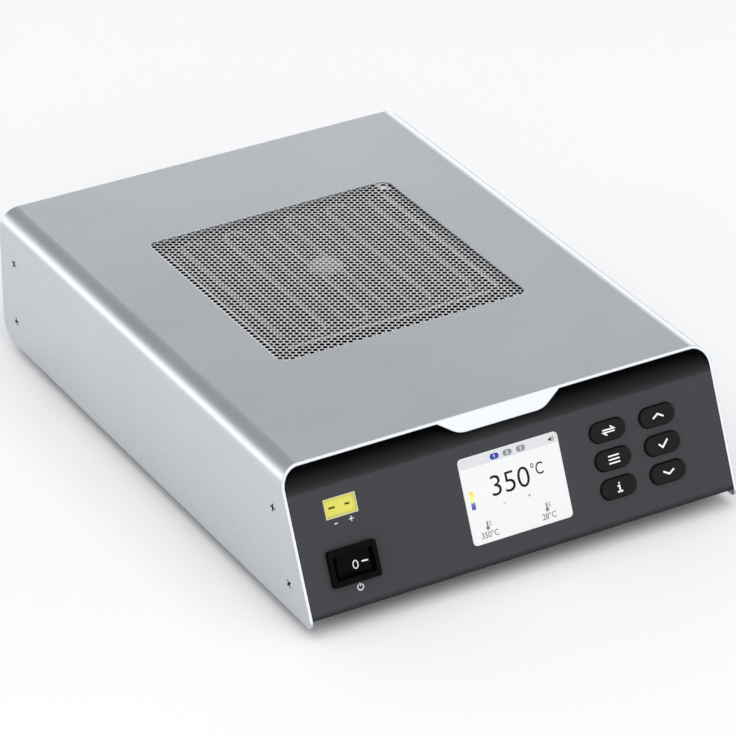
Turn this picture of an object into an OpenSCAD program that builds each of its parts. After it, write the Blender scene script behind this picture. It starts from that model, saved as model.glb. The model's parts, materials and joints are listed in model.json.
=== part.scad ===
// Bench preheater for circuit boards: a bent sheet cover with a perforated heater window, and a
// control panel that leans back. The origin lies under the middle of the case, on the surface that
// the feet stand on. The front faces -Y, the right-hand side +X, and +Z is up. Lengths are in mm.

/* [Case] */
// Width of the cover
case_w = 215; // [205:1:250]
// Depth of the cover's top face
case_d = 265; // [262:1:300]
// Height of the cover's sides
case_h = 65; // [64:1:80]
// Lean of the front from the vertical, in degrees
front_lean = 24; // [20:1:26]
// Outer radius of the bends along the top
bend_r = 9.5; // [6:0.5:12]
// Thickness of the cover's sheet
cover_t = 1.3; // [1:0.1:1.6]
// Radius of the sides' lower rear corners
rear_corner_r = 10.5; // [8:0.5:14]
// Radius of the sides' lower front corners
front_corner_r = 2.5; // [1:0.5:5]
// Gap between sheets that lie side by side
sheet_gap = 0.25; // [0.2:0.05:0.4]

/* [Tongue at the top of the front] */
// Width where it leaves the rim
tongue_w = 61; // [40:1:80]
// Reach down the front from the cover's top edge
tongue_drop = 8; // [6:0.5:9]
// Slope of its ends, in degrees
tongue_slope = 35; // [30:1:60]
// Radius of its lower corners
tongue_corner_r = 11; // [4:0.5:14]

/* [Front panel] */
// Wall thickness of the panel
panel_t = 2; // [1.6:0.1:2.4]
// Depth of the panel's walls behind its face
panel_depth = 26; // [24:1:30]
// Height of the panel's lower wall over the sides' lower edge
panel_lift = 1.4; // [1:0.1:2]
// Distance down the face to the fold of the scooped band
scoop_v = 11.8; // [11:0.1:13]
// Lean of the scooped band behind the face, in degrees
scoop_lean = 32; // [20:1:36]
// Outer radius of the fold
scoop_r = 6; // [3:0.5:8]
// Outer radius of the rolled lower edge
roll_r = 3.6; // [3:0.1:5]

/* [Heater window] */
// Side of the square window
window_w = 126; // [122:1:132]
// Corner radius of the window
window_r = 5; // [3:0.5:8]
// Distance from the rear edge to the window's middle
window_from_rear = 125.5; // [120:0.5:130]
// Thickness of the perforated guard
guard_t = 0.8; // [0.6:0.1:1]
// Margin of the guard outside the window
guard_margin = 8; // [6:0.5:10]
// Diameter of the guard's holes
guard_hole_d = 2.9; // [2:0.1:3.2]
// Distance between the guard's neighbouring holes
guard_pitch = 4.2; // [4:0.1:6]
// Distance of the guard's screw from the window's right and rear edges
guard_screw_inset = 3.3; // [3:0.1:5]

/* [Heater] */
// Gap between the ceramic plate and the tray's walls
heater_gap = 1; // [0.5:0.1:2]
// Thickness of the ceramic plate without its ribs
heater_t = 10; // [8:0.5:12]
// Distance of the heater's middle behind the window's middle
heater_back = 9; // [0:0.5:10]
// Depth of the ceramic face under the cover's top face
heater_drop = 7; // [6.5:0.1:8]
// Radius of the half-round ribs
rib_r = 3; // [2:0.1:3.2]
// Margin of the plate outside the ribs' strips
rib_margin = 2; // [1:0.1:4]
// Ribs in each half of the plate
rib_runs = 5; // [3:2:5]
// Diameter of the sensor disc
sensor_d = 14; // [10:0.5:16]
// Diameter of the sensor's stem
sensor_stem_d = 5; // [3:0.5:6]
// Gap between the reflector tray's walls and the guard's screw
tray_screw_gap = 0.7; // [0.4:0.1:2]
// Sheet thickness of the tray
tray_t = 0.8; // [0.6:0.1:1]
// Thickness of the insulation under the plate
insulation_t = 6; // [4:0.5:8]
// Diameter of the posts that carry the tray
post_d = 6; // [5:0.5:8]

/* [Display] */
// Width of the display window
display_w = 50; // [44:0.5:54]
// Height of the display window
display_h = 38.2; // [34:0.5:40]
// Corner radius of the display window
display_r = 2; // [1:0.5:4]
// Distance down the face to the display's middle
display_v = 37.9; // [36:0.1:39]
// Height of the window over the panel
display_proud = 0.2; // [0.1:0.1:0.6]

/* [Keys] */
// Length of a key's hole
key_hole_w = 18.6; // [16:0.1:20]
// Height of a key's hole
key_hole_h = 9.4; // [8:0.1:10]
// Height of a key over the panel
key_proud = 1.3; // [1:0.1:2]
// Gap round a key
key_gap = 0.35; // [0.3:0.05:0.5]
// Travel of a key
key_travel = 0.8; // [0.5:0.1:1]
// Distance of the left column from the panel's middle
key_u = 49.4; // [48:0.1:52]
// Distance between the columns
key_pitch_u = 25.5; // [24:0.1:27]
// Distance between the rows
key_pitch_v = 12.7; // [12:0.1:13.5]

/* [Power switch] */
// Width of the switch's bezel
switch_w = 23.3; // [22:0.1:26]
// Height of the switch's bezel
switch_h = 15.9; // [15:0.1:17]
// Height of the bezel over the panel
switch_proud = 2; // [1.5:0.1:2.5]
// Distance of the switch's and the socket's middle from the left side
left_inset = 24.9; // [22:0.1:30]
// Distance down the face to the switch's middle
switch_v = 48.05; // [46:0.05:50]
// Tilt of the rocker to each side, in degrees
rocker_tilt = 6; // [4:1:8]
// Angle of the rocker's two faces from flat, in degrees
rocker_vee = 20; // [14:1:22]

/* [Thermocouple socket] */
// Width of the socket's face
socket_w = 15.5; // [15:0.1:17]
// Height of the socket's face
socket_h = 8.7; // [8:0.1:10]
// Depth of the socket's face inside its rim
socket_sunk = 1; // [0.5:0.1:1.5]
// Thickness of the rim
socket_rim = 0.5; // [0.4:0.1:0.8]
// Distance down the face to the socket's middle
socket_v = 22.9; // [22:0.1:24]

/* [Rear and base] */
// Inset of the rear panel from the cover's rear edge
rear_inset = 4; // [3.5:0.1:6]
// Sheet thickness of the rear panel
rear_t = 1.2; // [1:0.1:1.6]
// Depth of the rear panel's turned walls
rear_depth = 22; // [20:1:26]
// Bend radius along the rear panel's foot
rear_bend_r = 8; // [6:0.5:9]
// Sheet thickness of the base
base_t = 1.2; // [1:0.1:1.6]
// Height of the base's turned-up edges
base_lip = 7; // [5:0.5:7]
// Height of the feet under the cover's sides
foot_h = 5; // [4:0.5:10]
// Diameter of a foot at its top
foot_d = 20; // [16:1:24]
// Distance of the feet from the sides
foot_inset = 30; // [24:1:40]
// Gap between the feet and the turned walls of the front and rear panels
foot_gap = 5; // [3:0.5:12]
// Diameter of the cover's screws
screw_d = 3; // [2.5:0.5:3]
// Distance of the cover's screws from the front and rear edges
screw_edge = 14; // [12:0.5:16]
// Height of the lower cover screws over the sides' lower edge
screw_low = 13.2; // [12.6:0.1:15]
// Height of the upper cover screws over the sides' lower edge
screw_high = 43.6; // [38:0.1:46]

/* [Electronics] */
// Thickness of the circuit boards
board_t = 1.6; // [1:0.1:2]
// Width of the control board
control_w = 150; // [140:1:160]
// Depth of the control board
control_d = 56; // [50:1:58]
// Height of the pillars under the control board
pillar_h = 8; // [5:0.5:10]
// Height of the bosses that carry the panel's board
boss_h = 8.2; // [8:0.1:9]

/* [Hidden] */
$fn = 48;

// Overhang that keeps a cut clear of the face it starts from
cut = 1;
// Radial gap round a screw's shank
shank_gap = 0.1;
// Gap that a snug piece keeps from its seat
seat_gap = 0.1;

// Heights and depths of the case
z_low = foot_h;
z_top = foot_h + case_h;
lean_run = case_h * tan(front_lean);
corner_cut = front_corner_r * (1 / tan((90 - front_lean) / 2) - 1);
y_rear = (case_d + lean_run - corner_cut) / 2;
y_brow = y_rear - case_d;
function front_y(z) = y_brow - (z_top - z) * tan(front_lean);
inner_inset = cover_t + sheet_gap;

// Panel, base and rear heights
panel_low = z_low + panel_lift;
panel_high = z_top - inner_inset;
base_low = panel_low + panel_t;
base_top = base_low + base_t;
rear_low = base_low - rear_t;
rear_face = y_rear - rear_inset;
rear_front = rear_face - rear_depth;
panel_back = front_y(panel_low) + panel_depth / cos(front_lean);

// Directions in the plane of depth and height
up_slope = [sin(front_lean), cos(front_lean)];
into_face = [cos(front_lean), -sin(front_lean)];
up_scoop = [sin(front_lean + scoop_lean), cos(front_lean + scoop_lean)];
into_scoop = [cos(front_lean + scoop_lean), -sin(front_lean + scoop_lean)];
fold = [y_brow, z_top] - scoop_v * up_slope;

// Base outline: inside the panel's cheeks, over the turned walls of the front and rear panels
lap = 15;
base_w = case_w - 2 * (inner_inset + panel_t + sheet_gap);
base_front = front_y(base_low) + panel_depth / cos(front_lean) - lap;
base_rear = rear_face - rear_bend_r - sheet_gap;
base_slots = 6;
slot_w = 3;
slot_l = 34;
vents = 9;
vent_x = 10;
vent_pitch = 9;
vent_l = 30;

// Window, guard and heater places
window_y = y_rear - window_from_rear;
heater_y = window_y + heater_back;
guard_low = z_top - cover_t - guard_t;
guard_screw_at = window_w / 2 - guard_screw_inset;
guard_screw_d = 2.4;
guard_head_d = 4.5;
guard_head_h = 0.9;
guard_screw_reach = 4;
tray_w = 2 * (guard_screw_at - guard_screw_d / 2 - tray_screw_gap - tray_t);
heater_w = tray_w - 2 * heater_gap;
rib_pitch = (heater_w / 2 - rib_margin) / rib_runs;
heater_face = z_top - heater_drop;
heater_low = heater_face - heater_t;
boss_over_ribs = 0.4;
sensor_seat = heater_face + rib_r + boss_over_ribs;
sensor_t = 1;
sensor_rim = 2;
sensor_tail = 6;
insulation_low = heater_low - insulation_t;
tray_low = insulation_low - tray_t;
ear_t = 1;
ear_low = guard_low - ear_t;
ear_reach = 4.6;
post_inset = 12;
post_at = tray_w / 2 - post_inset;
post_screw_d = 3;
post_screw_depth = 7;

// Screw heads
cover_head_d = 5.6;
cover_screw_l = 5;
base_screw_l = 6.5;
pan_head_d = 5.4;
pan_head_h = 1.8;
foot_screw_d = 4;
foot_head_d = 8;
foot_head_h = 2.6;
foot_nut_d = 8;
foot_nut_h = 3.2;
foot_seat_d = 9;
foot_seat_h = 4;
foot_taper = 4;

// Stack behind the panel's face, measured inwards
window_lip = 2;
window_lip_t = 1;
flange_gap = 0.3;
key_flange_w = 1;
key_flange_t = 1;
key_stem_d = 3.4;
key_stem_h = 1.8;
key_step = 0.45;
key_shoulder = 0.5;
press_gap = 0.1;
panel_board_at = panel_t + boss_h;
stem_end = panel_t + flange_gap + key_flange_t + key_stem_h;
plunger_at = stem_end + key_travel + press_gap;
plunger_d = 3.2;
plunger_h = 0.8;
tact_w = 6;
display_rim = 2;
display_frame = 4;
boss_d = 6;
boss_hole_d = 2.2;
boss_inset = 3.2;
boss_head_d = 4.4;
boss_room = boss_inset + boss_d / 2;
display_side_gap = 2.5;
panel_board_left = display_w / 2 + display_frame + display_side_gap + boss_room;
panel_board_right = key_u + key_pitch_u + key_hole_w / 2 + key_flange_w + flange_gap + boss_room;
panel_board_top = display_v - display_h / 2 - display_rim;
panel_board_bottom = display_v + display_h / 2 + display_rim;

// Switch: body, rocker and pivot, measured from the panel's face
left_u = case_w / 2 - left_inset;
switch_cut_gap = 0.2;
switch_wall = 1;
switch_r = 1;
rocker_l = 17.2;
rocker_swing_gap = 1;
rocker_h = 10;
rocker_side_gap = 0.4;
pivot_depth = 4.5;
pivot_d = 2.6;
pivot_gap = 0.05;
vee_depth = 2.4;
rocker_skirt = 2.4;
switch_body_d = 17;
switch_cavity_d = 9;
body_w = rocker_l + 2 * rocker_swing_gap + 2 * switch_wall;
body_h = rocker_h + 2 * rocker_side_gap + 2 * switch_wall;
tab_w = 4.8;
tab_t = 0.8;
tab_l = 8;
tab_pitch = 7;

// Socket: slots and contacts
socket_depth = 14;
socket_clip = 1;
slot_depth = 10;
slot_h = 0.9;
slot_pitch = 7.4;
slot_wide = 3.2;
slot_narrow = 2.4;
contact_t = 0.3;
contact_w = 1.6;
contact_l = 7;

// Mains inlet on the rear panel
inlet_inset = 49.5;
inlet_x = inlet_inset - case_w / 2;
inlet_rise = 27;
inlet_z = z_low + inlet_rise;
inlet_flange_w = 48;
inlet_flange_h = 22.4;
inlet_flange_t = 3;
inlet_flange_r = 4;
inlet_body_w = 27;
inlet_body_h = 19.4;
inlet_body_d = 20;
inlet_mouth_w = 24;
inlet_mouth_h = 16;
inlet_mouth_d = 16;
inlet_chamfer = 4.5;
inlet_screw_at = 20;
inlet_screw_l = 8;
inlet_head_h = 0.9;
inlet_cut_gap = 0.3;
pin_w = 2;
pin_h = 4;
pin_l = 10.5;
pin_tail = 8;
pin_pitch = 7;
pin_rise = 2;

// Boards and components
control_y = (y_brow + panel_depth + heater_y - tray_w / 2) / 2;
board_low = base_top + pillar_h;
board_top = board_low + board_t;
pillar_d = 6;
pillar_inset = 4;
supply_size = [52, 28, 22];
supply_inset = 14;
sink_size = [14, 40, 24];
sink_inset = 16;
sink_wall = 2.4;
sink_fins = 4;
fin_t = 1.6;
sink_x = control_w / 2 - sink_inset - sink_size.x;
triac_size = [4.4, 10, 15];
capacitors = 3;
capacitor_d = 10;
capacitor_h = 16;
capacitor_x = 4;
capacitor_pitch = 14;
chip_size = [14, 14, 2];
chip_at = [-4, -22];
relay_size = [19, 15, 15];
relay_at = [15, -20];
plug_size = [20, 9, 12];
plug_at = [-54, 17];
plug_pitch = 28;
block_size = [24, 34, 16];
block_gap = 9.7;
block_x = block_size.x / 2 + block_gap - base_w / 2;
block_bore_d = 5;
block_screw_d = 4.5;

// Columns and rows of the six keys
key_rows = [display_v - key_pitch_v, display_v, display_v + key_pitch_v];
key_cols = [key_u, key_u + key_pitch_u];

// The four corners of a rectangle, as sign pairs
corners = [for (i = [-1, 1], j = [-1, 1]) [i, j]];

// Carries a flat outline of width and height along Y, from y0 to y1
module along_y(y0, y1)
    translate([0, y1, z_low]) rotate([90, 0, 0]) linear_extrude(y1 - y0) children();

// Carries a flat outline of depth and height along X, centred
module along_x(w)
    translate([-w / 2, 0, 0]) rotate([90, 0, 90]) linear_extrude(w) children();

// Places children on the leaning face: u to the right, v down the slope, local Z outwards
module on_front(u, v)
    translate([0, y_brow, z_top]) rotate([90 - front_lean, 0, 0]) translate([u, -v, 0]) children();

// Turns local Z to point at the left (-1) or right (1) wall, at the cover's outer face
module on_side(side, y, z)
    translate([side * case_w / 2, y, z]) rotate([0, side * 90, 0]) children();

// Rounded top outline of the case, inset from the cover's outer face and open at its foot
module arch(inset, foot = 0) {
    w = case_w - 2 * inset;
    h = case_h - inset;
    r = bend_r - inset;
    translate([-w / 2, -foot]) square([w, h - r + foot]);
    translate([-w / 2 + r, -foot]) square([w - 2 * r, h + foot]);
    for (s = [-1, 1]) translate([s * (w / 2 - r), h - r]) circle(r);
}

// Waste outside the arc that rounds the corner at p between the directions a and b
module corner_trim(p, a, b, r) {
    half = acos(a * b) / 2;
    reach = r / tan(half);
    middle = (a + b) / norm(a + b);
    difference() {
        polygon([p - cut * middle, p + reach * a, p + reach * b]);
        translate(p + middle * r / sin(half)) circle(r);
    }
}

// Rectangle with round corners
module rounded(w, h, r) {
    square([w - 2 * r, h], center = true);
    square([w, h - 2 * r], center = true);
    for (c = corners) translate([c.x * (w / 2 - r), c.y * (h / 2 - r)]) circle(r);
}

// Outline with round ends
module pill(w, h) {
    square([w - h, h], center = true);
    for (s = [-1, 1]) translate([s * (w - h) / 2, 0]) circle(d = h);
}

// Plate of a flat outline between two heights
module plate(z0, z1) translate([0, 0, z0]) linear_extrude(z1 - z0) children();

// Screw with a pan head above z = 0 and its shank below
module pan_screw(d, l, head_d, head_h) {
    cylinder(d = head_d, h = head_h);
    translate([0, 0, -l]) cylinder(d = d, h = l);
}

// Side outline of the cover
module side_outline()
    difference() {
        polygon([
            [front_y(z_low), z_low], [y_rear, z_low], [y_rear, z_top], [y_brow, z_top]
        ]);
        corner_trim([y_rear, z_low], [-1, 0], [0, 1], rear_corner_r);
        corner_trim([front_y(z_low), z_low], [1, 0], up_slope, front_corner_r);
    }

// Outline of the tongue, hanging from the cover's top front edge
module tongue_outline() {
    slope = [cos(tongue_slope), sin(tongue_slope)];
    rim = cover_t / cos(front_lean);
    top = tongue_w / 2 + rim / tan(tongue_slope);
    foot = top - tongue_drop / tan(tongue_slope);
    difference() {
        polygon([[-top, 0], [top, 0], [foot, -tongue_drop], [-foot, -tongue_drop]]);
        corner_trim([foot, -tongue_drop], [-1, 0], slope, tongue_corner_r);
        corner_trim([-foot, -tongue_drop], [1, 0], [-slope.x, slope.y], tongue_corner_r);
    }
}

// Places children at each cover screw: two at the front and two at the rear of each side
module at_cover_screws()
    for (side = [-1, 1], h = [screw_low, screw_high]) {
        on_side(side, y_rear - screw_edge, z_low + h) children();
        on_side(side, front_y(z_low + h) + screw_edge, z_low + h) children();
    }

// Countersunk screw, flush with the cover
module cover_screw(grow) {
    head_h = (cover_head_d - screw_d) / 2;
    translate([0, 0, -head_h]) cylinder(d1 = screw_d + grow, d2 = cover_head_d + grow, h = head_h);
    translate([0, 0, -cover_screw_l]) cylinder(d = screw_d + grow, h = cover_screw_l);
}

// Cover: one bent sheet with the window and the tongue
module top_cover() color("silver")
    difference() {
        union() {
            intersection() {
                along_y(front_y(z_low), y_rear)
                    difference() {
                        arch(0);
                        arch(cover_t, cut);
                    }
                along_x(case_w) side_outline();
            }
            on_front(0, 0) plate(-cover_t, 0) tongue_outline();
        }
        translate([0, window_y]) plate(z_top - 2 * cover_t, z_top + cut)
            rounded(window_w, window_w, window_r);
        at_cover_screws() cover_screw(2 * shank_gap);
    }

// Side outline of the front panel, d inside its outer face and ending back behind it
module panel_outline(d, back) {
    low = panel_low + d;
    high = panel_high - d;
    v_low = (z_top - low - d * sin(front_lean)) / cos(front_lean);
    toe = [y_brow, z_top] - v_low * up_slope + d * into_face;
    crease = fold + d * (into_face + into_scoop) / (1 + cos(scoop_lean));
    rise = (high - fold.y + d * sin(front_lean + scoop_lean)) / cos(front_lean + scoop_lean);
    head = fold + d * into_scoop + rise * up_scoop;
    reach = back / cos(front_lean);
    difference() {
        polygon([
            [front_y(low) + reach, low], toe, crease, head, [front_y(high) + reach, high]
        ]);
        corner_trim(toe, [1, 0], up_slope, roll_r - d);
        corner_trim(crease, -up_slope, up_scoop, scoop_r - d);
    }
}

// Moulded front panel: a shell open to the rear, with openings and bosses
module front_panel() color("dimgray")
    difference() {
        union() {
            difference() {
                intersection() {
                    along_x(case_w) panel_outline(0, panel_depth);
                    along_y(front_y(z_low), y_rear) arch(inner_inset);
                }
                intersection() {
                    along_x(case_w) panel_outline(panel_t, panel_depth + cut);
                    along_y(front_y(z_low), y_rear) arch(inner_inset + panel_t);
                }
            }
            at_bosses() plate(-panel_board_at, -panel_t + seat_gap) circle(d = boss_d);
        }
        on_front(0, display_v) plate(-panel_t - cut, cut)
            rounded(display_w + 2 * seat_gap, display_h + 2 * seat_gap, display_r + seat_gap);
        for (u = key_cols, v = key_rows)
            on_front(u, v) plate(-panel_t - cut, cut) pill(key_hole_w, key_hole_h);
        on_front(-left_u, socket_v) plate(-panel_t - cut, cut)
            square([socket_w + 2 * seat_gap, socket_h + 2 * seat_gap], center = true);
        on_front(-left_u, switch_v) plate(-panel_t - cut, cut)
            square([body_w + 2 * switch_cut_gap, body_h + 2 * switch_cut_gap], center = true);
        at_bosses() plate(-panel_board_at - cut, -panel_t - cut) circle(d = boss_hole_d);
        at_cover_screws() cover_screw(2 * shank_gap);
        at_front_base_screws() cylinder(d = screw_d + 2 * shank_gap, h = 4 * panel_t, center = true);
    }

// The four bosses that carry the panel's board
module at_bosses()
    for (u = [boss_inset - panel_board_left, panel_board_right - boss_inset],
         v = [panel_board_top + boss_inset, panel_board_bottom - boss_inset])
        on_front(u, v) children();

// Screws through the turned walls into the base
module at_front_base_screws()
    for (u = [-1, 0, 1])
        translate([u * base_w / 3, base_front + lap / 2, panel_low]) rotate([180, 0, 0]) children();
module at_rear_base_screws()
    for (u = [-1, 0, 1])
        translate([u * base_w / 3, (rear_front + base_rear) / 2, rear_low])
            rotate([180, 0, 0]) children();

// Side outline of the rear panel, d inside its outer face
module rear_outline(d, front)
    difference() {
        polygon([
            [front, rear_low + d], [rear_face - d, rear_low + d],
            [rear_face - d, z_top - inner_inset - d], [front, z_top - inner_inset - d]
        ]);
        corner_trim([rear_face - d, rear_low + d], [-1, 0], [0, 1], rear_bend_r - d);
    }

// Rear panel: folded sheet with vents and the inlet's opening
module rear_panel() color("darkgray")
    difference() {
        intersection() {
            along_x(case_w) rear_outline(0, rear_front);
            along_y(front_y(z_low), y_rear) arch(inner_inset);
        }
        intersection() {
            along_x(case_w) rear_outline(rear_t, rear_front - cut);
            along_y(front_y(z_low), y_rear) arch(inner_inset + rear_t);
        }
        at_inlet() {
            plate(-2 * rear_t, cut)
                square([inlet_body_w + 2 * inlet_cut_gap, inlet_body_h + 2 * inlet_cut_gap],
                       center = true);
            for (s = [-1, 1])
                translate([s * inlet_screw_at, 0, -2 * rear_t])
                    cylinder(d = screw_d + 2 * shank_gap, h = 3 * rear_t);
        }
        for (i = [0 : vents - 1])
            translate([vent_x + i * vent_pitch, rear_face + cut, inlet_z])
                rotate([90, 0, 0]) linear_extrude(2 * rear_t + cut) rotate(90) pill(vent_l, slot_w);
        at_cover_screws() cover_screw(2 * shank_gap);
        at_rear_base_screws() cylinder(d = screw_d + 2 * shank_gap, h = 4 * rear_t, center = true);
    }

// Places children on the rear face at the inlet, local Z outwards
module at_inlet()
    translate([inlet_x, rear_face, inlet_z]) rotate([-90, 0, 0]) children();

// Floor pan with turned-up edges, vents and holes for feet and posts
module base_plate() color("lightgray")
    difference() {
        pan();
        for (side = [-1, 1], i = [0 : base_slots - 1])
            translate([side * tray_w / 4, heater_y + (i - (base_slots - 1) / 2) * 3 * slot_w, base_low])
                plate(-cut, base_t + cut) pill(slot_l, slot_w);
        at_feet() cylinder(d = foot_screw_d + 2 * shank_gap, h = 4 * base_top, center = true);
        at_posts() cylinder(d = post_screw_d + 2 * shank_gap, h = 4 * base_top, center = true);
        at_pillars() cylinder(d = screw_d + 2 * shank_gap, h = 4 * base_top, center = true);
        at_front_base_screws() cylinder(d = screw_d + 2 * shank_gap, h = 8 * base_t, center = true);
        at_rear_base_screws() cylinder(d = screw_d + 2 * shank_gap, h = 8 * base_t, center = true);
    }

// The pan itself: a floor with an upright edge along each side
module pan()
    translate([0, base_front, 0]) {
        translate([-base_w / 2, 0, base_low]) cube([base_w, base_rear - base_front, base_t]);
        for (s = [-1, 1])
            translate([s * (base_w - base_t) / 2 - base_t / 2, 0, base_low])
                cube([base_t, base_rear - base_front, base_lip]);
    }

// Middle of each foot, post and pillar, at floor level
module at_feet()
    for (s = [-1, 1], y = [panel_back + foot_gap + foot_d / 2, rear_front - foot_gap - foot_d / 2])
        translate([s * (case_w / 2 - foot_inset), y, 0]) children();
module at_posts()
    for (c = corners) translate([c.x * post_at, heater_y + c.y * post_at, 0]) children();
module at_pillars()
    for (c = corners)
        translate([c.x * (control_w / 2 - pillar_inset),
                   control_y + c.y * (control_d / 2 - pillar_inset), 0]) children();

module cover_screws() color("silver") at_cover_screws() cover_screw(0);

module base_screws() color("gainsboro") {
    at_front_base_screws() pan_screw(screw_d, base_screw_l, pan_head_d, pan_head_h);
    at_rear_base_screws() pan_screw(screw_d, base_screw_l, pan_head_d, pan_head_h);
}

// Tapered rubber feet, each with a seat for its screw's head
module rubber_feet() color("black")
    at_feet() difference() {
        cylinder(d1 = foot_d - foot_taper, d2 = foot_d, h = base_low);
        translate([0, 0, -cut]) cylinder(d = foot_seat_d, h = foot_seat_h + cut);
        cylinder(d = foot_screw_d + 2 * shank_gap, h = base_low + cut);
    }

// Foot screws from below, with their nuts on the base
module foot_screws() color("gainsboro")
    at_feet() {
        translate([0, 0, foot_seat_h]) rotate([180, 0, 0])
            pan_screw(foot_screw_d, base_top - foot_seat_h + foot_nut_h + cut, foot_head_d, foot_head_h);
        difference() {
            translate([0, 0, base_top]) cylinder(d = foot_nut_d, h = foot_nut_h, $fn = 6);
            translate([0, 0, base_top - cut])
                cylinder(d = foot_screw_d + shank_gap, h = foot_nut_h + 2 * cut);
        }
    }

// Field of staggered round holes, kept whole and clear of the screw
module guard_field() {
    column = guard_pitch * cos(30);
    half = window_w / 2;
    columns = floor(half / column);
    rows = floor(half / guard_pitch);
    for (i = [-columns : columns], j = [-rows : rows]) {
        p = [i * column, (j + (i % 2 == 0 ? 0 : 0.5)) * guard_pitch];
        reach = max(abs(p.x), abs(p.y));
        near = norm(p - [guard_screw_at, guard_screw_at]);
        if (reach < half && near > (guard_head_d + guard_hole_d) / 2)
            translate(p) circle(d = guard_hole_d);
    }
}

// Perforated guard, held between the cover and the tray's ears
module heater_guard() color("gray")
    translate([0, window_y]) plate(guard_low, guard_low + guard_t)
        difference() {
            square(window_w + 2 * guard_margin, center = true);
            guard_field();
            translate([guard_screw_at, guard_screw_at]) circle(d = guard_screw_d + 2 * shank_gap);
        }

// Earth screw through the guard's rear right corner into the tray
module at_guard_screw()
    translate([guard_screw_at, window_y + guard_screw_at, guard_low + guard_t]) children();

module guard_screw() color("gainsboro")
    at_guard_screw() pan_screw(guard_screw_d, guard_screw_reach, guard_head_d, guard_head_h);

// Half of the heater's raised winding: straight ribs joined by half rings in turn
module half_winding() {
    run = heater_w - 2 * rib_pitch;
    for (i = [0 : rib_runs - 1]) {
        x = -(i + 0.5) * rib_pitch;
        translate([x, run / 2, 0]) rotate([90, 0, 0]) cylinder(r = rib_r, h = run);
        if (i < rib_runs - 1)
            translate([x - rib_pitch / 2, (i % 2 == 0 ? -1 : 1) * run / 2, 0])
                rotate(i % 2 == 0 ? 180 : 0)
                    rotate_extrude(angle = 180) translate([rib_pitch / 2, 0]) circle(rib_r);
    }
    translate([-rib_pitch / 2, run / 2, 0]) sphere(rib_r);
    translate([-(rib_runs - 0.5) * rib_pitch, -run / 2, 0]) sphere(rib_r);
}

// Infrared plate with a raised winding in two halves and a boss for the sensor
module ceramic_heater() color("ivory")
    translate([0, heater_y, heater_face])
        difference() {
            union() {
                plate(-heater_t, 0) rounded(heater_w, heater_w, window_r);
                half_winding();
                rotate(180) half_winding();
                cylinder(d = sensor_d + sensor_rim, h = rib_r + boss_over_ribs);
            }
            translate([0, 0, -heater_t - cut])
                cylinder(d = sensor_stem_d + 2 * shank_gap, h = heater_t + rib_r + 2 * cut);
        }

// Sensor: a disc on the boss, its stem running down through the plate and the tray
module heat_sensor() color("whitesmoke")
    translate([0, heater_y, 0]) {
        translate([0, 0, sensor_seat]) cylinder(d = sensor_d, h = sensor_t);
        translate([0, 0, tray_low - sensor_tail])
            cylinder(d = sensor_stem_d, h = sensor_seat - tray_low + sensor_tail);
    }

module insulation_board() color("linen")
    translate([0, heater_y, 0]) difference() {
        plate(insulation_low, heater_low) rounded(heater_w, heater_w, window_r);
        translate([0, 0, insulation_low - cut])
            cylinder(d = sensor_stem_d + 2 * shank_gap, h = insulation_t + 2 * cut);
    }

// Folded tray that carries the heater, with four ears under the guard's corners
module reflector_tray() color("lightsteelblue")
    difference() {
        union() {
            translate([0, heater_y, 0]) difference() {
                plate(tray_low, ear_low) square(tray_w + 2 * tray_t, center = true);
                plate(insulation_low, ear_low + cut) square(tray_w, center = true);
                translate([0, 0, tray_low - cut])
                    cylinder(d = sensor_stem_d + 2 * shank_gap, h = tray_t + 2 * cut);
            }
            for (s = [-1, 1]) {
                tray_ear(s, window_y + guard_screw_at - ear_reach, window_y + guard_screw_at + ear_reach);
                tray_ear(s, window_y - guard_screw_at - ear_reach, heater_y - tray_w / 2);
            }
        }
        at_guard_screw()
            cylinder(d = guard_screw_d + 2 * shank_gap, h = 4 * guard_screw_reach, center = true);
    }

// One ear, from the tray's wall out past the screw
module tray_ear(side, y0, y1) {
    inner = tray_w / 2 - ear_reach;
    outer = guard_screw_at + ear_reach;
    wall_x = y1 > heater_y ? tray_w / 2 : inner;
    translate([side > 0 ? wall_x : -outer, y0, ear_low]) cube([outer - wall_x, y1 - y0, ear_t]);
}

module tray_posts() color("gainsboro")
    at_posts() difference() {
        translate([0, 0, base_top]) cylinder(d = post_d, h = tray_low - base_top);
        cylinder(d = post_screw_d + shank_gap, h = base_top + post_screw_depth);
    }

module tray_screws() color("gainsboro")
    at_posts() translate([0, 0, base_low]) rotate([180, 0, 0])
        pan_screw(post_screw_d, base_t + post_screw_depth - cut, pan_head_d, pan_head_h);

// Porcelain block for the heater's two leads
module terminal_block() color("white")
    translate([block_x, heater_y, base_top]) difference() {
        translate([-block_size.x / 2, -block_size.y / 2, 0]) cube(block_size);
        for (s = [-1, 1]) translate([0, s * block_size.y / 4, block_size.z / 2]) {
            rotate([0, 90, 0]) cylinder(d = block_bore_d, h = block_size.x + 2 * cut, center = true);
            cylinder(d = block_screw_d, h = block_size.z);
        }
    }

module control_board() color("darkgreen")
    difference() {
        translate([-control_w / 2, control_y - control_d / 2, board_low])
            cube([control_w, control_d, board_t]);
        at_pillars() cylinder(d = screw_d + 2 * shank_gap, h = 4 * board_top, center = true);
    }

module board_pillars() color("gainsboro")
    at_pillars() difference() {
        translate([0, 0, base_top]) cylinder(d = pillar_d, h = pillar_h);
        cylinder(d = screw_d + shank_gap, h = board_top);
    }

// Pillar screws, from above through the board and from below through the base
module board_screws() color("gainsboro")
    at_pillars() {
        translate([0, 0, board_top])
            pan_screw(screw_d, board_t + pillar_h / 2 - cut, pan_head_d, pan_head_h);
        translate([0, 0, base_low]) rotate([180, 0, 0])
            pan_screw(screw_d, base_t + pillar_h / 2 - cut, pan_head_d, pan_head_h);
    }

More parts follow.
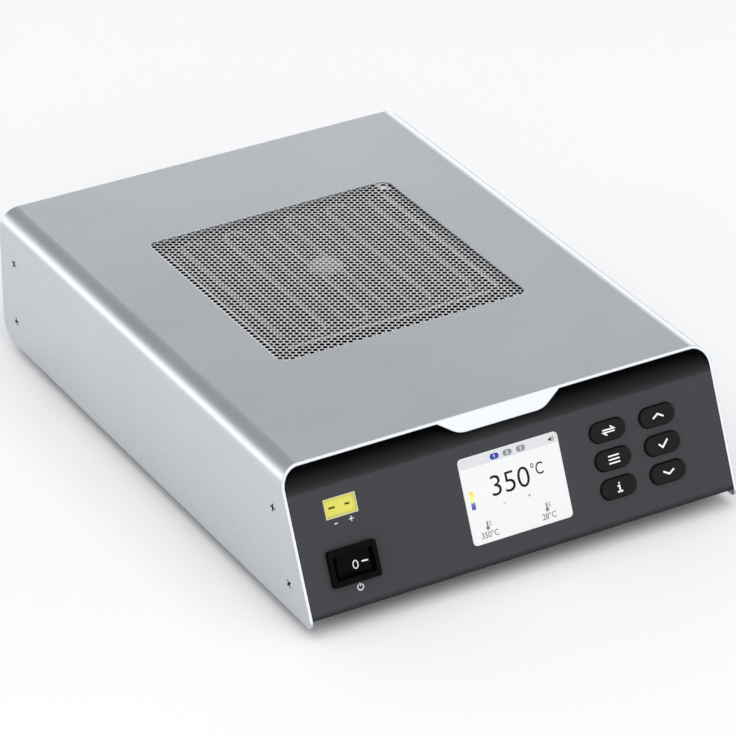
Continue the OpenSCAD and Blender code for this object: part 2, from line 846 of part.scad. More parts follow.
// Capacitors, relay, processor and connectors on the control board
module board_components() color("darkslategray")
    translate([0, control_y, board_top]) {
        for (i = [0 : capacitors - 1])
            translate([capacitor_x + i * capacitor_pitch, control_d / 4, 0])
                cylinder(d = capacitor_d, h = capacitor_h);
        translate(chip_at) cube(chip_size);
        translate(relay_at) cube(relay_size);
        for (i = [0, 1]) translate([plug_at.x + i * plug_pitch, plug_at.y, 0]) cube(plug_size);
    }

module power_supply() color("black")
    translate([supply_inset - control_w / 2, control_y - supply_size.y / 2, board_top])
        cube(supply_size);

// Extruded heatsink: an upright wall with fins
module triac_heatsink() color("silver")
    translate([sink_x, control_y - sink_size.y / 2, board_top]) {
        cube([sink_wall, sink_size.y, sink_size.z]);
        for (i = [0 : sink_fins - 1])
            translate([0, i * (sink_size.y - fin_t) / (sink_fins - 1), 0])
                cube([sink_size.x, fin_t, sink_size.z]);
    }

// The triac that switches the heater, flat against the heatsink
module power_triac() color("black")
    translate([sink_x - triac_size.x, control_y - triac_size.y / 2, board_top]) cube(triac_size);

// Board behind the panel, parallel to its face
module panel_board() color("darkgreen")
    difference() {
        on_front(0, 0) plate(-panel_board_at - board_t, -panel_board_at)
            translate([-panel_board_left, -panel_board_bottom])
                square([panel_board_left + panel_board_right, panel_board_bottom - panel_board_top]);
        at_bosses() plate(-panel_board_at - 2 * board_t, -panel_board_at + cut)
            circle(d = boss_hole_d + 2 * shank_gap);
    }

module panel_board_screws() color("gainsboro")
    at_bosses() translate([0, 0, -panel_board_at - board_t]) rotate([180, 0, 0])
        pan_screw(boss_hole_d - shank_gap, board_t + boss_h / 2, boss_head_d, pan_head_h);

// A small switch under each key
module tact_switches() color("black")
    for (u = key_cols, v = key_rows)
        on_front(u, v) {
            plate(-panel_board_at, -plunger_at - plunger_h) square(tact_w, center = true);
            plate(-plunger_at - plunger_h, -plunger_at) circle(d = plunger_d);
        }

// Display unit on the panel's board, and the clear window in front of it
module display_module() color("black")
    on_front(0, display_v) plate(-panel_board_at, -panel_t - window_lip_t - 2 * seat_gap)
        square([display_w + 2 * display_frame, display_h + 2 * display_rim], center = true);

module display_window() color("white")
    on_front(0, display_v) {
        plate(-panel_t - seat_gap, display_proud) rounded(display_w, display_h, display_r);
        plate(-panel_t - seat_gap - window_lip_t, -panel_t - seat_gap)
            rounded(display_w + 2 * window_lip, display_h + 2 * window_lip, display_r + window_lip);
    }

// A key: stepped oval cap, a flange that holds it in and a stem that meets its switch
module key_cap(u, v)
    color("black") on_front(u, v) {
        w = key_hole_w - 2 * key_gap;
        h = key_hole_h - 2 * key_gap;
        plate(key_proud - key_shoulder, key_proud) pill(w - 2 * key_step, h - 2 * key_step);
        plate(-panel_t - flange_gap, key_proud - key_shoulder) pill(w, h);
        plate(-panel_t - flange_gap - key_flange_t, -panel_t - flange_gap)
            pill(key_hole_w + 2 * key_flange_w, key_hole_h + 2 * key_flange_w);
        plate(-stem_end, -panel_t - flange_gap - key_flange_t) circle(d = key_stem_d);
    }

module key_swap() key_cap(key_cols[0], key_rows[0]);
module key_menu() key_cap(key_cols[0], key_rows[1]);
module key_info() key_cap(key_cols[0], key_rows[2]);
module key_up() key_cap(key_cols[1], key_rows[0]);
module key_ok() key_cap(key_cols[1], key_rows[1]);
module key_down() key_cap(key_cols[1], key_rows[2]);

// Switch body: a bezel over the panel and a box behind it, hollow for the rocker
module power_switch() color("black")
    on_front(-left_u, switch_v)
        difference() {
            union() {
                plate(0, switch_proud) rounded(switch_w, switch_h, switch_r);
                plate(-switch_body_d, 0) square([body_w, body_h], center = true);
            }
            plate(-switch_cavity_d, switch_proud + cut)
                square([body_w - 2 * switch_wall, body_h - 2 * switch_wall], center = true);
            translate([0, 0, -pivot_depth]) rotate([90, 0, 0])
                cylinder(d = pivot_d + 2 * pivot_gap, h = body_h + 2 * cut, center = true);
        }

module switch_terminals() color("goldenrod")
    on_front(-left_u, switch_v)
        for (s = [-1, 1])
            translate([s * tab_pitch / 2, 0, -switch_body_d - tab_l / 2])
                cube([tab_t, tab_w, tab_l], center = true);

// Rocker: two faces that meet in a valley over the pivot, at rest with its right side down
module power_rocker() color("black")
    on_front(-left_u, switch_v) translate([0, 0, -pivot_depth]) rotate([0, rocker_tilt, 0]) {
        half = rocker_l / 2;
        valley = pivot_depth - vee_depth;
        tip = valley + half * tan(rocker_vee);
        rotate([90, 0, 0]) linear_extrude(rocker_h, center = true)
            polygon([
                [0, valley], [half, tip], [half, tip - rocker_skirt], [pivot_d, -pivot_d],
                [-pivot_d, -pivot_d], [-half, tip - rocker_skirt], [-half, tip]
            ]);
        rotate([90, 0, 0]) cylinder(d = pivot_d, h = body_h, center = true);
    }

// Yellow socket body: a sunk face in a thin rim, with two blade slots of unequal width
module thermocouple_socket() color("khaki")
    on_front(-left_u, socket_v) difference() {
        union() {
            plate(-socket_depth, 0) square([socket_w, socket_h], center = true);
            plate(-panel_t - seat_gap - socket_clip, -panel_t - seat_gap)
                square([socket_w + 2 * socket_clip, socket_h + 2 * socket_clip], center = true);
        }
        plate(-socket_sunk, cut)
            square([socket_w - 2 * socket_rim, socket_h - 2 * socket_rim], center = true);
        plate(-slot_depth, cut) {
            translate([-slot_pitch / 2, 0]) square([slot_wide, slot_h], center = true);
            translate([slot_pitch / 2, 0]) square([slot_narrow, slot_h], center = true);
        }
    }

// Leaf contacts against the upper wall of each slot
module socket_contacts() color("silver")
    on_front(-left_u, socket_v)
        for (s = [-1, 1])
            translate([s * slot_pitch / 2 - contact_w / 2, slot_h / 2 - contact_t, -slot_depth])
                cube([contact_w, contact_t, contact_l]);

// Mouth of the inlet, with its two upper corners cut
module inlet_mouth() {
    w = inlet_mouth_w / 2;
    h = inlet_mouth_h / 2;
    polygon([[-w, h], [w, h], [w, inlet_chamfer - h], [w - inlet_chamfer, -h],
             [inlet_chamfer - w, -h], [-w, inlet_chamfer - h]]);
}

// Mains inlet: a screwed flange over the rear panel and a recessed body behind it
module mains_inlet() color("black")
    at_inlet() difference() {
        union() {
            plate(0, inlet_flange_t) rounded(inlet_flange_w, inlet_flange_h, inlet_flange_r);
            plate(-inlet_body_d, 0) square([inlet_body_w, inlet_body_h], center = true);
        }
        plate(inlet_flange_t - inlet_mouth_d, inlet_flange_t + cut) inlet_mouth();
        at_inlet_pins() translate([0, 0, -inlet_body_d - cut])
            linear_extrude(inlet_body_d) square([pin_w + 2 * seat_gap, pin_h + 2 * seat_gap], center = true);
        for (s = [-1, 1]) translate([s * inlet_screw_at, 0, -cut])
            cylinder(d = screw_d + 2 * shank_gap, h = inlet_flange_t + 2 * cut);
    }

// Line, neutral and earth pins
module at_inlet_pins() {
    for (s = [-1, 1]) translate([s * pin_pitch, pin_rise, 0]) children();
    translate([0, -pin_rise, 0]) children();
}

module inlet_pins() color("gainsboro")
    at_inlet() at_inlet_pins()
        translate([0, 0, inlet_flange_t - inlet_mouth_d + pin_l / 2 - pin_tail / 2])
            cube([pin_w, pin_h, pin_l + pin_tail], center = true);

module inlet_screws() color("gainsboro")
    at_inlet() for (s = [-1, 1]) translate([s * inlet_screw_at, 0, inlet_flange_t])
        pan_screw(screw_d, inlet_screw_l, pan_head_d, inlet_head_h);

top_cover();
front_panel();
rear_panel();
base_plate();
cover_screws();
base_screws();
rubber_feet();
foot_screws();
heater_guard();
guard_screw();
ceramic_heater();
heat_sensor();
insulation_board();
reflector_tray();
tray_posts();
tray_screws();
terminal_block();
control_board();
board_pillars();
board_screws();
board_components();
power_supply();
triac_heatsink();
power_triac();
panel_board();
panel_board_screws();
tact_switches();
display_module();
display_window();
key_swap();
key_menu();
key_info();
key_up();
key_ok();
key_down();
power_switch();
switch_terminals();
power_rocker();
thermocouple_socket();
socket_contacts();
mains_inlet();
inlet_pins();
inlet_screws();
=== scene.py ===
"""Looks of a bench preheater for circuit boards.

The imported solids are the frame. New pieces are surfaces worked out as whole arrays: rings of
points carried along a profile, and a field of cells for the perforated guard. Only the display's
figures come from the built-in type. A piece's lengths are in millimetres and become metres when its
mesh is made. Finishes and the stage are in metres.
"""

import json
import math

import bpy
import numpy as np
from mathutils import Matrix


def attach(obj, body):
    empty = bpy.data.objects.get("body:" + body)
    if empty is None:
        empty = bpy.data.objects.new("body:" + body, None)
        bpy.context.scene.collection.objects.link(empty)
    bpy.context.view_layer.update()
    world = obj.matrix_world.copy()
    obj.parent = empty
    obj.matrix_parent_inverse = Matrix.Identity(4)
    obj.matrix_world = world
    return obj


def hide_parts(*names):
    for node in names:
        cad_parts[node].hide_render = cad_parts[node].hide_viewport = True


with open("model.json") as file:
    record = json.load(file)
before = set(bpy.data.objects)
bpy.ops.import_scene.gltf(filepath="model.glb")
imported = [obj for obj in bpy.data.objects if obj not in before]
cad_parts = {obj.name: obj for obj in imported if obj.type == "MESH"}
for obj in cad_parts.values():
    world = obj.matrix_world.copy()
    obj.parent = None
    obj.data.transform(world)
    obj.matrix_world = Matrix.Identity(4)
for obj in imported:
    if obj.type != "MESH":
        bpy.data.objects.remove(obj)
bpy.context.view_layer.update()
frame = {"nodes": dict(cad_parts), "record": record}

# One millimetre in metres
MM = 0.001

# Sizes of the case, in millimetres
CASE_W = 215.0
CASE_D = 265.0
CASE_H = 65.0
LEAN = math.radians(24.0)
COVER_T = 1.3
FRONT_CORNER = 2.5
Z_LOW = 5.0
Z_TOP = Z_LOW + CASE_H
CORNER_CUT = FRONT_CORNER * (1 / math.tan((math.pi / 2 - LEAN) / 2) - 1)
Y_REAR = (CASE_D + CASE_H * math.tan(LEAN) - CORNER_CUT) / 2
Y_BROW = Y_REAR - CASE_D

# Directions on the leaning face: right, up the slope and outwards
FACE = np.array([
    [1.0, 0.0, 0.0],
    [0.0, math.sin(LEAN), math.cos(LEAN)],
    [0.0, -math.cos(LEAN), math.sin(LEAN)],
])
BROW = np.array([0.0, Y_BROW, Z_TOP])

# Middle of the heater window, and the heights where painted highlights make the heater's ribs and the
# tray's rim pale
WINDOW_Y = Y_REAR - 125.5
RIB_HIGHLIGHT = Z_TOP - 4.06
TRAY_RIM = Z_TOP - COVER_T - 1.8
RIM_HIGHLIGHT_LOW = TRAY_RIM - 0.9
RIM_HIGHLIGHT_HIGH = TRAY_RIM + 0.05

# Heights between which painted shade darkens the panel towards the brow, under the cover, and towards its
# rolled lower edge
SCOOP_SHADE_LOW = 57.8
SCOOP_SHADE_HIGH = 64.0
ROLL_SHADE_LOW = 7.4
ROLL_SHADE_HIGH = 11.2

# Heights between which the display's scale turns from blue to orange
SCALE_LOW = 33.2
SCALE_HIGH = 40.5

# Depth behind the panel at which the thermocouple socket's pale rim, a painted highlight, ends
SOCKET_HIGHLIGHT_DEPTH = 0.9


def on_face(points, u=0.0, v=0.0):
    """Local points (right, up the slope, outwards) set at u across and v down the face."""
    shifted = np.asarray(points, float) + np.array([u, -v, 0.0])
    return BROW + shifted @ FACE


# Meshes


def facing_out(points, groups):
    """Turns every face round if the closed shape has a negative volume. Six times the volume is the
    sum over fans of triangles of a . (b x c)."""
    six_volumes = 0.0
    for g in groups:
        corner = points[g]
        six_volumes += np.einsum("ij,ikj->", corner[:, 0], np.cross(corner[:, 1:-1], corner[:, 2:]))
    return points, [g[:, ::-1] for g in groups] if six_volumes < 0 else list(groups)


def put(name, points, groups, finish, slot, body="base", replaces=(), crease=35.0,
        inner=None, inner_faces=None):
    """Makes a piece from points in millimetres and groups of faces, each an array of faces with the
    same number of corners. Every array is laid out flat and handed over whole. Edges over the crease
    angle stay sharp, and the faces that inner_faces marks take the second finish."""
    points = np.asarray(points, float) * MM
    groups = [np.asarray(g, int) for g in groups if len(g)]
    loops = np.concatenate([g.ravel() for g in groups])
    totals = np.concatenate([np.full(len(g), g.shape[1]) for g in groups])
    starts = np.concatenate([[0], np.cumsum(totals)[:-1]])
    mesh = bpy.data.meshes.new(name)
    mesh.vertices.add(len(points))
    mesh.vertices.foreach_set("co", points.astype(np.float32).ravel())
    mesh.loops.add(len(loops))
    mesh.loops.foreach_set("vertex_index", loops.astype(np.int32))
    mesh.polygons.add(len(totals))
    mesh.polygons.foreach_set("loop_start", starts.astype(np.int32))
    mesh.polygons.foreach_set("loop_total", totals.astype(np.int32))
    mesh.polygons.foreach_set("use_smooth", np.ones(len(totals), bool))
    mesh.materials.append(finish)
    if inner is not None:
        mesh.materials.append(inner)
        mesh.polygons.foreach_set("material_index", np.asarray(inner_faces).astype(np.int32))
    mesh.update(calc_edges=True)
    mesh.validate()
    mesh.set_sharp_from_angle(angle=math.radians(crease))
    piece = bpy.data.objects.new(name, mesh)
    bpy.context.scene.collection.objects.link(piece)
    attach(piece, body)
    if replaces:
        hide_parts(*replaces)


def join(*parts):
    """Several (points, groups) shapes as one, each later shape's indices moved up past the earlier."""
    points = np.concatenate([p for p, _ in parts])
    offsets = np.cumsum([0] + [len(p) for p, _ in parts[:-1]])
    groups = [np.asarray(g) + o for (_, gs), o in zip(parts, offsets) for g in gs]
    return points, groups


def loft(rings):
    """Quads between neighbouring rings (count, around, 3), after a flat cap on the first ring and
    before one on the last."""
    rings = np.asarray(rings, float)
    count, around = rings.shape[:2]
    i, j = np.meshgrid(np.arange(count - 1), np.arange(around), indexing="ij")
    a = i * around + j
    b = i * around + (j + 1) % around
    ring = np.arange(around)
    groups = [
        ring[::-1][None],
        np.stack([a, b, b + around, a + around], -1).reshape(-1, 4),
        (ring + (count - 1) * around)[None],
    ]
    return facing_out(rings.reshape(-1, 3), groups)


def rounded_ring(w, h, r, arc):
    """Outline of a w by h rectangle with corner radius r: four quarter circles of arc + 1 points."""
    t = np.linspace(0, np.pi / 2, arc + 1)
    turns = np.arange(4) * np.pi / 2
    angle = (turns[:, None] + t).ravel()
    cx = (w / 2 - r) * np.repeat([1, -1, -1, 1], arc + 1)
    cy = (h / 2 - r) * np.repeat([1, 1, -1, -1], arc + 1)
    return np.stack([cx + r * np.cos(angle), cy + r * np.sin(angle)], -1)


def stepped_plate(w, h, r, profile, arc=10):
    """A rounded rectangle carried along a profile of (inset, height) pairs: each ring is the outline
    shrunk by the inset, its corner radius shrunk as much, at that height."""
    rings = []
    for inset, height in profile:
        ring = rounded_ring(w - 2 * inset, h - 2 * inset, max(r - inset, 0.02), arc)
        rings.append(np.column_stack([ring, np.full(len(ring), height)]))
    return loft(rings)


def turned(profile, around=32):
    """Profile of (radius, height) pairs turned about the local upright axis."""
    t = np.arange(around) * 2 * np.pi / around
    profile = np.asarray(profile, float)
    r, z = profile[:, 0, None], profile[:, 1, None]
    rings = np.stack([r * np.cos(t), r * np.sin(t), np.broadcast_to(z, (len(profile), around))], -1)
    return loft(rings)


def round_over(radius, low, high, steps=5):
    """Profile pairs of a side wall from low to high whose upper edge is a quarter round:
    inset = radius (1 - cos t), height = high - radius (1 - sin t)."""
    t = np.linspace(0, np.pi / 2, steps + 1)
    arc = np.stack([radius * (1 - np.cos(t)), high - radius * (1 - np.sin(t))], -1)
    return [(0.0, low)] + [tuple(p) for p in arc]


def slab(outline, low, high):
    """A closed flat outline (around, 2) given thickness from low to high."""
    outline = np.asarray(outline, float)
    rings = [np.column_stack([outline, np.full(len(outline), z)]) for z in (low, high)]
    return loft(rings)


def stroke(path, width, cap=6):
    """Outline of a pen stroke: the path (count, 2) pushed half a width to each side along its
    normals, mitred at the bends, with a half circle of points at each end."""
    path = np.asarray(path, float)
    step = np.diff(path, axis=0)
    step /= np.linalg.norm(step, axis=1)[:, None]
    normal = np.stack([-step[:, 1], step[:, 0]], -1)
    before = np.vstack([normal[:1], normal])
    after = np.vstack([normal, normal[-1:]])
    mitre = before + after
    mitre /= (mitre * before).sum(1)[:, None]
    half = width / 2
    left, right = path + half * mitre, path - half * mitre
    t = np.linspace(0, np.pi, cap + 1)[1:-1]
    end = path[-1] + half * (np.outer(np.sin(t), step[-1]) - np.outer(np.cos(t), normal[-1]))
    begin = path[0] + half * (np.outer(np.cos(t), normal[0]) - np.outer(np.sin(t), step[0]))
    return np.concatenate([right, end, left[::-1], begin])


def arc_path(radius, start, stop, around=32):
    """Points (radius cos t, radius sin t) from start to stop degrees."""
    t = np.radians(np.linspace(start, stop, around + 1))
    return np.stack([radius * np.cos(t), radius * np.sin(t)], -1)


def closed_band(radius, width, low, high, stretch, around=48):
    """A whole oval ring of rectangular section, its radius stretched up the slope: four ovals joined
    round, inner and outer, low and high."""
    t = np.arange(around) * 2 * np.pi / around
    unit = np.stack([np.cos(t), np.sin(t)], -1)
    grow = np.array([1.0, stretch])
    outer, inner = unit * (radius * grow + width / 2), unit * (radius * grow - width / 2)
    corners = [(outer, low), (outer, high), (inner, high), (inner, low)]
    points = np.concatenate([np.column_stack([c, np.full(around, z)]) for c, z in corners])
    i, j = np.meshgrid(np.arange(4), np.arange(around), indexing="ij")
    k = (i + 1) % 4
    quads = np.stack([i * around + j, i * around + (j + 1) % around,
                      k * around + (j + 1) % around, k * around + j], -1)
    return facing_out(points, [quads.reshape(-1, 4)])


# Shader maths


class Value:
    """A shader socket that takes part in Python arithmetic: each operator adds one Math node."""

    def __init__(self, nodes, socket):
        self.nodes = nodes
        self.socket = socket

    def _math(self, operation, a, b, clamp=False):
        return self.nodes.node("Math", {"operation": operation, "use_clamp": clamp}, {0: a, 1: b})

    def __add__(self, other):
        return self._math("ADD", self, other)

    def __radd__(self, other):
        return self._math("ADD", other, self)

    def __sub__(self, other):
        return self._math("SUBTRACT", self, other)

    def __rsub__(self, other):
        return self._math("SUBTRACT", other, self)

    def __mul__(self, other):
        return self._math("MULTIPLY", self, other)

    def __rmul__(self, other):
        return self._math("MULTIPLY", other, self)

    def __truediv__(self, other):
        return self._math("DIVIDE", self, other)

    def __pow__(self, other):
        return self._math("POWER", self, other)

    def __gt__(self, other):
        return self._math("GREATER_THAN", self, other)

    def __lt__(self, other):
        return self._math("LESS_THAN", self, other)

    def clamped(self):
        """The value held between 0 and 1."""
        return self._math("MULTIPLY", self, 1.0, clamp=True)


class Nodes:
    """The node tree of a material or of the sky, with its closing shader."""

    def __init__(self, owner, shader):
        owner.use_nodes = True
        self.tree = owner.node_tree
        self.shader = self.tree.nodes[shader]

    def node(self, kind, settings=None, sockets=None, out=0):
        """Any node: its settings are set first, then the values or links of its sockets."""
        made = self.tree.nodes.new("ShaderNode" + kind)
        for key, value in (settings or {}).items():
            if key == "stops":
                elements = made.color_ramp.elements
                while len(elements) < len(value):
                    elements.new(1.0)
                for element, (position, colour) in zip(elements, value):
                    element.position = position
                    element.color = colour
            else:
                setattr(made, key, value)
        for key, value in (sockets or {}).items():
            if isinstance(value, Value):
                self.tree.links.new(value.socket, made.inputs[key])
            else:
                made.inputs[key].default_value = value
        return Value(self, made.outputs[out])

    def feed(self, socket, value):
        """Links a value to a socket of the closing shader."""
        self.tree.links.new(value.socket, self.shader.inputs[socket])
        return self


class Finish(Nodes):
    """A node material in the making. Constants go straight on the shader's sockets, and what
    changes over the surface is linked with feed()."""

    def __init__(self, name, **constants):
        self.material = bpy.data.materials.new(name)
        super().__init__(self.material, "Principled BSDF")
        for key, value in constants.items():
            self.shader.inputs[key.replace("_", " ")].default_value = value

    def place(self):
        """The piece's own coordinates, in metres."""
        return self.node("TexCoord", out=3)

    def axis(self, number):
        """One of the piece's own coordinates, in metres: 0 for x, 1 for y, 2 for z."""
        return self.node("SeparateXYZ", None, {0: self.place()}, out=number)

    def noise(self, scale, detail=2.0, rough=0.5, stretch=None):
        """Fractal noise on the piece's coordinates, from about 0 to 1."""
        vector = self.place()
        if stretch:
            vector = self.node("Mapping", None, {"Vector": vector, "Scale": stretch})
        return self.node("TexNoise", None, {"Vector": vector, "Scale": scale, "Detail": detail,
                                            "Roughness": rough})

    def blend(self, factor, a, b):
        """Colour a where the factor is 0 and colour b where it is 1."""
        return self.node("Mix", {"data_type": "RGBA"}, {0: factor, 6: a, 7: b}, out=2)

    def relief(self, height, strength, depth, soft_edge=0.0):
        """Bump from a height. A soft edge rounds the shading along the piece's sharp edges."""
        sockets = {"Height": height, "Strength": strength, "Distance": depth}
        if soft_edge:
            sockets["Normal"] = self.node("Bevel", {"samples": 6}, {"Radius": soft_edge})
        return self.feed("Normal", self.node("Bump", None, sockets))


def rgb(r, g, b):
    """A screen colour of 0 to 255 as the linear colour that a socket takes."""
    c = np.array([r, g, b]) / 255.0
    linear = np.where(c <= 0.04045, c / 12.92, ((c + 0.055) / 1.055) ** 2.4)
    return (*linear.tolist(), 1.0)


# Finishes


def blasted_aluminium():
    """Anodised, bead-blasted sheet: fine grain in the relief, cloudy changes in tone and gloss."""
    f = Finish("blasted_aluminium", Metallic=1.0)
    cloud = f.noise(14.0, 3.0)
    grain = f.noise(2600.0, 2.0)
    f.feed("Base Color", f.blend(cloud, rgb(197, 200, 204), rgb(205, 207, 210)))
    f.feed("Roughness", 0.23 + 0.05 * cloud + 0.05 * grain)
    return f.relief(grain, 0.08, 0.00006, 0.0005).material


def moulded_panel():
    """Dark grey moulded plastic with a fine spark-eroded grain. Painted shade: the strip above the fold is
    painted darker, up to black, towards the brow where it runs in under the cover, and the rolled lower
    edge is painted dark where it turns under."""
    f = Finish("moulded_panel", Specular_IOR_Level=0.08)
    grain = f.noise(3200.0, 2.0)
    cloud = f.noise(22.0, 3.0)
    # Painted shade: the scooped strip is darkened towards black as it runs in under the brow
    scoop_shade = ((f.axis(2) - MM * SCOOP_SHADE_LOW) / (MM * (SCOOP_SHADE_HIGH - SCOOP_SHADE_LOW))).clamped()
    grey = f.blend(cloud, rgb(61, 61, 64), rgb(66, 66, 69))
    # Painted shade: the rolled lower edge is darkened where it turns under
    roll = ((MM * ROLL_SHADE_HIGH - f.axis(2)) / (MM * (ROLL_SHADE_HIGH - ROLL_SHADE_LOW))).clamped()
    face = f.blend(roll, grey, rgb(18, 18, 20))
    f.feed("Base Color", f.blend(scoop_shade ** 0.4, face, rgb(3, 3, 4)))
    f.feed("Roughness", 0.5 + 0.08 * grain + 0.04 * cloud)
    return f.relief(grain, 0.16, 0.00008, 0.0004).material


def textured_paint():
    """Black powder coat with an orange-peel relief."""
    f = Finish("textured_paint")
    peel = f.noise(900.0, 3.0)
    cloud = f.noise(30.0, 2.0)
    f.feed("Base Color", f.blend(cloud, rgb(38, 38, 40), rgb(48, 48, 50)))
    f.feed("Roughness", 0.5 + 0.12 * peel)
    return f.relief(peel, 0.35, 0.00012, 0.0003).material


def bright_steel():
    """Plated screw steel with fine turning marks."""
    f = Finish("bright_steel", Metallic=1.0)
    marks = f.noise(1500.0, 2.0, stretch=(1.0, 1.0, 6.0))
    f.feed("Base Color", f.blend(marks, rgb(196, 197, 200), rgb(222, 222, 224)))
    f.feed("Roughness", 0.22 + 0.14 * marks)
    return f.relief(marks, 0.08, 0.00003, 0.0002).material


def foot_rubber():
    """Matt black rubber with dusty mottling."""
    f = Finish("foot_rubber")
    dust = f.noise(160.0, 4.0)
    f.feed("Base Color", f.blend(dust, rgb(28, 28, 28), rgb(44, 44, 43)))
    f.feed("Roughness", 0.78 + 0.14 * dust)
    return f.relief(dust, 0.2, 0.0001, 0.0004).material


def punched_steel():
    """Punched stainless sheet: rolled streaks along the depth, with a little heat tint in patches."""
    f = Finish("punched_steel", Metallic=1.0)
    streaks = f.noise(260.0, 3.0, stretch=(6.0, 0.4, 1.0))
    tint = f.noise(16.0, 2.0)
    tone = f.blend(streaks, rgb(236, 237, 238), rgb(246, 247, 248))
    f.feed("Base Color", f.blend(0.3 * tint, tone, rgb(236, 232, 224)))
    f.feed("Roughness", 0.3 + 0.1 * streaks)
    return f.relief(streaks, 0.06, 0.00004).material


def heater_ceramic():
    """Infrared ceramic, all porous: a dark plate whose ribs each carry a narrow pale grey crown, a painted
    highlight for the light on their tops.
    """
    f = Finish("heater_ceramic")
    pores = f.noise(1200.0, 4.0, 0.6)
    patch = f.noise(40.0, 3.0)
    # Painted highlight: each rib's crown is painted pale where light catches its top
    crown_highlight = f.axis(2) > MM * RIB_HIGHLIGHT
    pale = f.blend(patch, rgb(150, 150, 147), rgb(168, 167, 164))
    f.feed("Base Color", f.blend(crown_highlight, rgb(12, 12, 12), pale))
    f.feed("Roughness", 0.72 + 0.2 * pores)
    return f.relief(pores, 0.3, 0.00015).material


def pale_steel():
    """Sensor disc: heat-proof grey coat on steel, a little worn."""
    f = Finish("pale_steel")
    wear = f.noise(700.0, 3.0)
    f.feed("Base Color", f.blend(wear, rgb(138, 138, 137), rgb(152, 152, 151)))
    f.feed("Roughness", 0.5 + 0.2 * wear)
    return f.relief(wear, 0.06, 0.00003).material


def pressed_fibre():
    """Insulation board: pale matted fibres."""
    f = Finish("pressed_fibre")
    fibres = f.noise(500.0, 5.0, 0.65, stretch=(1.0, 4.0, 4.0))
    f.feed("Base Color", f.blend(fibres, rgb(204, 198, 184), rgb(232, 228, 216)))
    f.feed("Roughness", 0.85 + 0.1 * fibres)
    return f.relief(fibres, 0.4, 0.0003).material


def dark_tray_sheet():
    """Black rolled sheet of the tray under the heater, with a painted highlight: a pale strip along the rim
    of its walls.
    """
    f = Finish("dark_tray_sheet", Specular_IOR_Level=0.2)
    rolled = f.noise(220.0, 3.0, stretch=(0.5, 5.0, 1.0))
    height = f.axis(2)
    # Painted highlight: the top of the walls is painted pale where light catches it
    rim = (height > MM * RIM_HIGHLIGHT_LOW) * (height < MM * RIM_HIGHLIGHT_HIGH)
    black = f.blend(rolled, rgb(14, 14, 15), rgb(24, 24, 26))
    f.feed("Base Color", f.blend(rim, black, rgb(208, 208, 207)))
    f.feed("Roughness", 0.5 + 0.15 * rolled)
    return f.relief(rolled, 0.06, 0.00005).material


def porcelain():
    """Glazed white block with tiny specks."""
    f = Finish("porcelain", Coat_Weight=0.4)
    specks = f.noise(900.0, 2.0)
    f.feed("Base Color", f.blend(specks > 0.72, rgb(236, 234, 226), rgb(196, 190, 178)))
    f.feed("Roughness", 0.2 + 0.1 * specks)
    return f.relief(specks, 0.05, 0.0001, 0.0005).material


def circuit_green():
    """Solder mask with a pattern of copper tracks showing through."""
    f = Finish("circuit_green", Coat_Weight=0.3)
    tracks = f.node("TexBrick", {"offset": 0.37}, {
        "Vector": f.place(), "Scale": 90.0, "Mortar Size": 0.06, "Mortar Smooth": 0.2,
        "Color1": (0, 0, 0, 1), "Color2": (0, 0, 0, 1), "Mortar": (1, 1, 1, 1)})
    f.feed("Base Color", f.blend(tracks, rgb(14, 88, 50), rgb(36, 126, 74)))
    f.feed("Roughness", 0.34 + 0.1 * f.noise(300.0))
    return f.relief(tracks, 0.2, 0.00006).material


def moulded_black():
    """Black moulded parts on the boards: matt, with flow marks."""
    f = Finish("moulded_black")
    flow = f.noise(240.0, 3.0)
    f.feed("Base Color", f.blend(flow, rgb(30, 30, 31), rgb(44, 44, 45)))
    f.feed("Roughness", 0.5 + 0.2 * flow)
    return f.relief(flow, 0.1, 0.0001, 0.0003).material


def drawn_aluminium():
    """Extruded heatsink with drawing lines up its height."""
    f = Finish("drawn_aluminium", Metallic=1.0)
    lines = f.noise(600.0, 2.0, stretch=(8.0, 8.0, 0.2))
    f.feed("Base Color", f.blend(lines, rgb(176, 178, 182), rgb(204, 205, 208)))
    f.feed("Roughness", 0.36 + 0.16 * lines)
    return f.relief(lines, 0.12, 0.00005, 0.0003).material


def lit_screen():
    """White lit display: a faint fine grain in its tone and gloss, and a nearly even glow."""
    f = Finish("lit_screen", Emission_Strength=0.06, Specular_IOR_Level=0.1)
    grain = f.noise(5200.0, 1.0)
    cloud = f.noise(45.0, 2.0)
    f.feed("Base Color", f.blend(grain, rgb(220, 220, 221), rgb(226, 226, 226)))
    f.feed("Emission Color", f.blend(cloud, rgb(240, 242, 245), rgb(252, 252, 252)))
    f.feed("Roughness", 0.22 + 0.1 * grain)
    return f.material


def screen_ink(name, r, g, b):
    """A colour shown on the display, evenly lit, with a trace of uneven tone."""
    f = Finish(name, Emission_Strength=0.04, Roughness=0.6, Specular_IOR_Level=0.05)
    uneven = f.noise(1800.0, 1.0)
    dim = [int(c * 0.94) for c in (r, g, b)]
    tone = f.blend(uneven, rgb(*dim), rgb(r, g, b))
    f.feed("Base Color", tone)
    f.feed("Emission Color", tone)
    return f.material


def thermal_scale():
    """The display's colour scale, from blue at its foot through yellow to orange."""
    f = Finish("thermal_scale", Emission_Strength=0.05, Roughness=0.6, Specular_IOR_Level=0.05)
    level = ((f.axis(2) - MM * SCALE_LOW) / (MM * (SCALE_HIGH - SCALE_LOW))).clamped()
    ramp = f.node("ValToRGB", {"stops": [
        (0.0, rgb(84, 84, 176)), (0.2, rgb(120, 122, 194)), (0.3, rgb(226, 236, 160)),
        (0.7, rgb(240, 224, 96)), (1.0, rgb(214, 150, 84))]}, {0: level})
    f.feed("Base Color", ramp)
    f.feed("Emission Color", ramp)
    return f.material


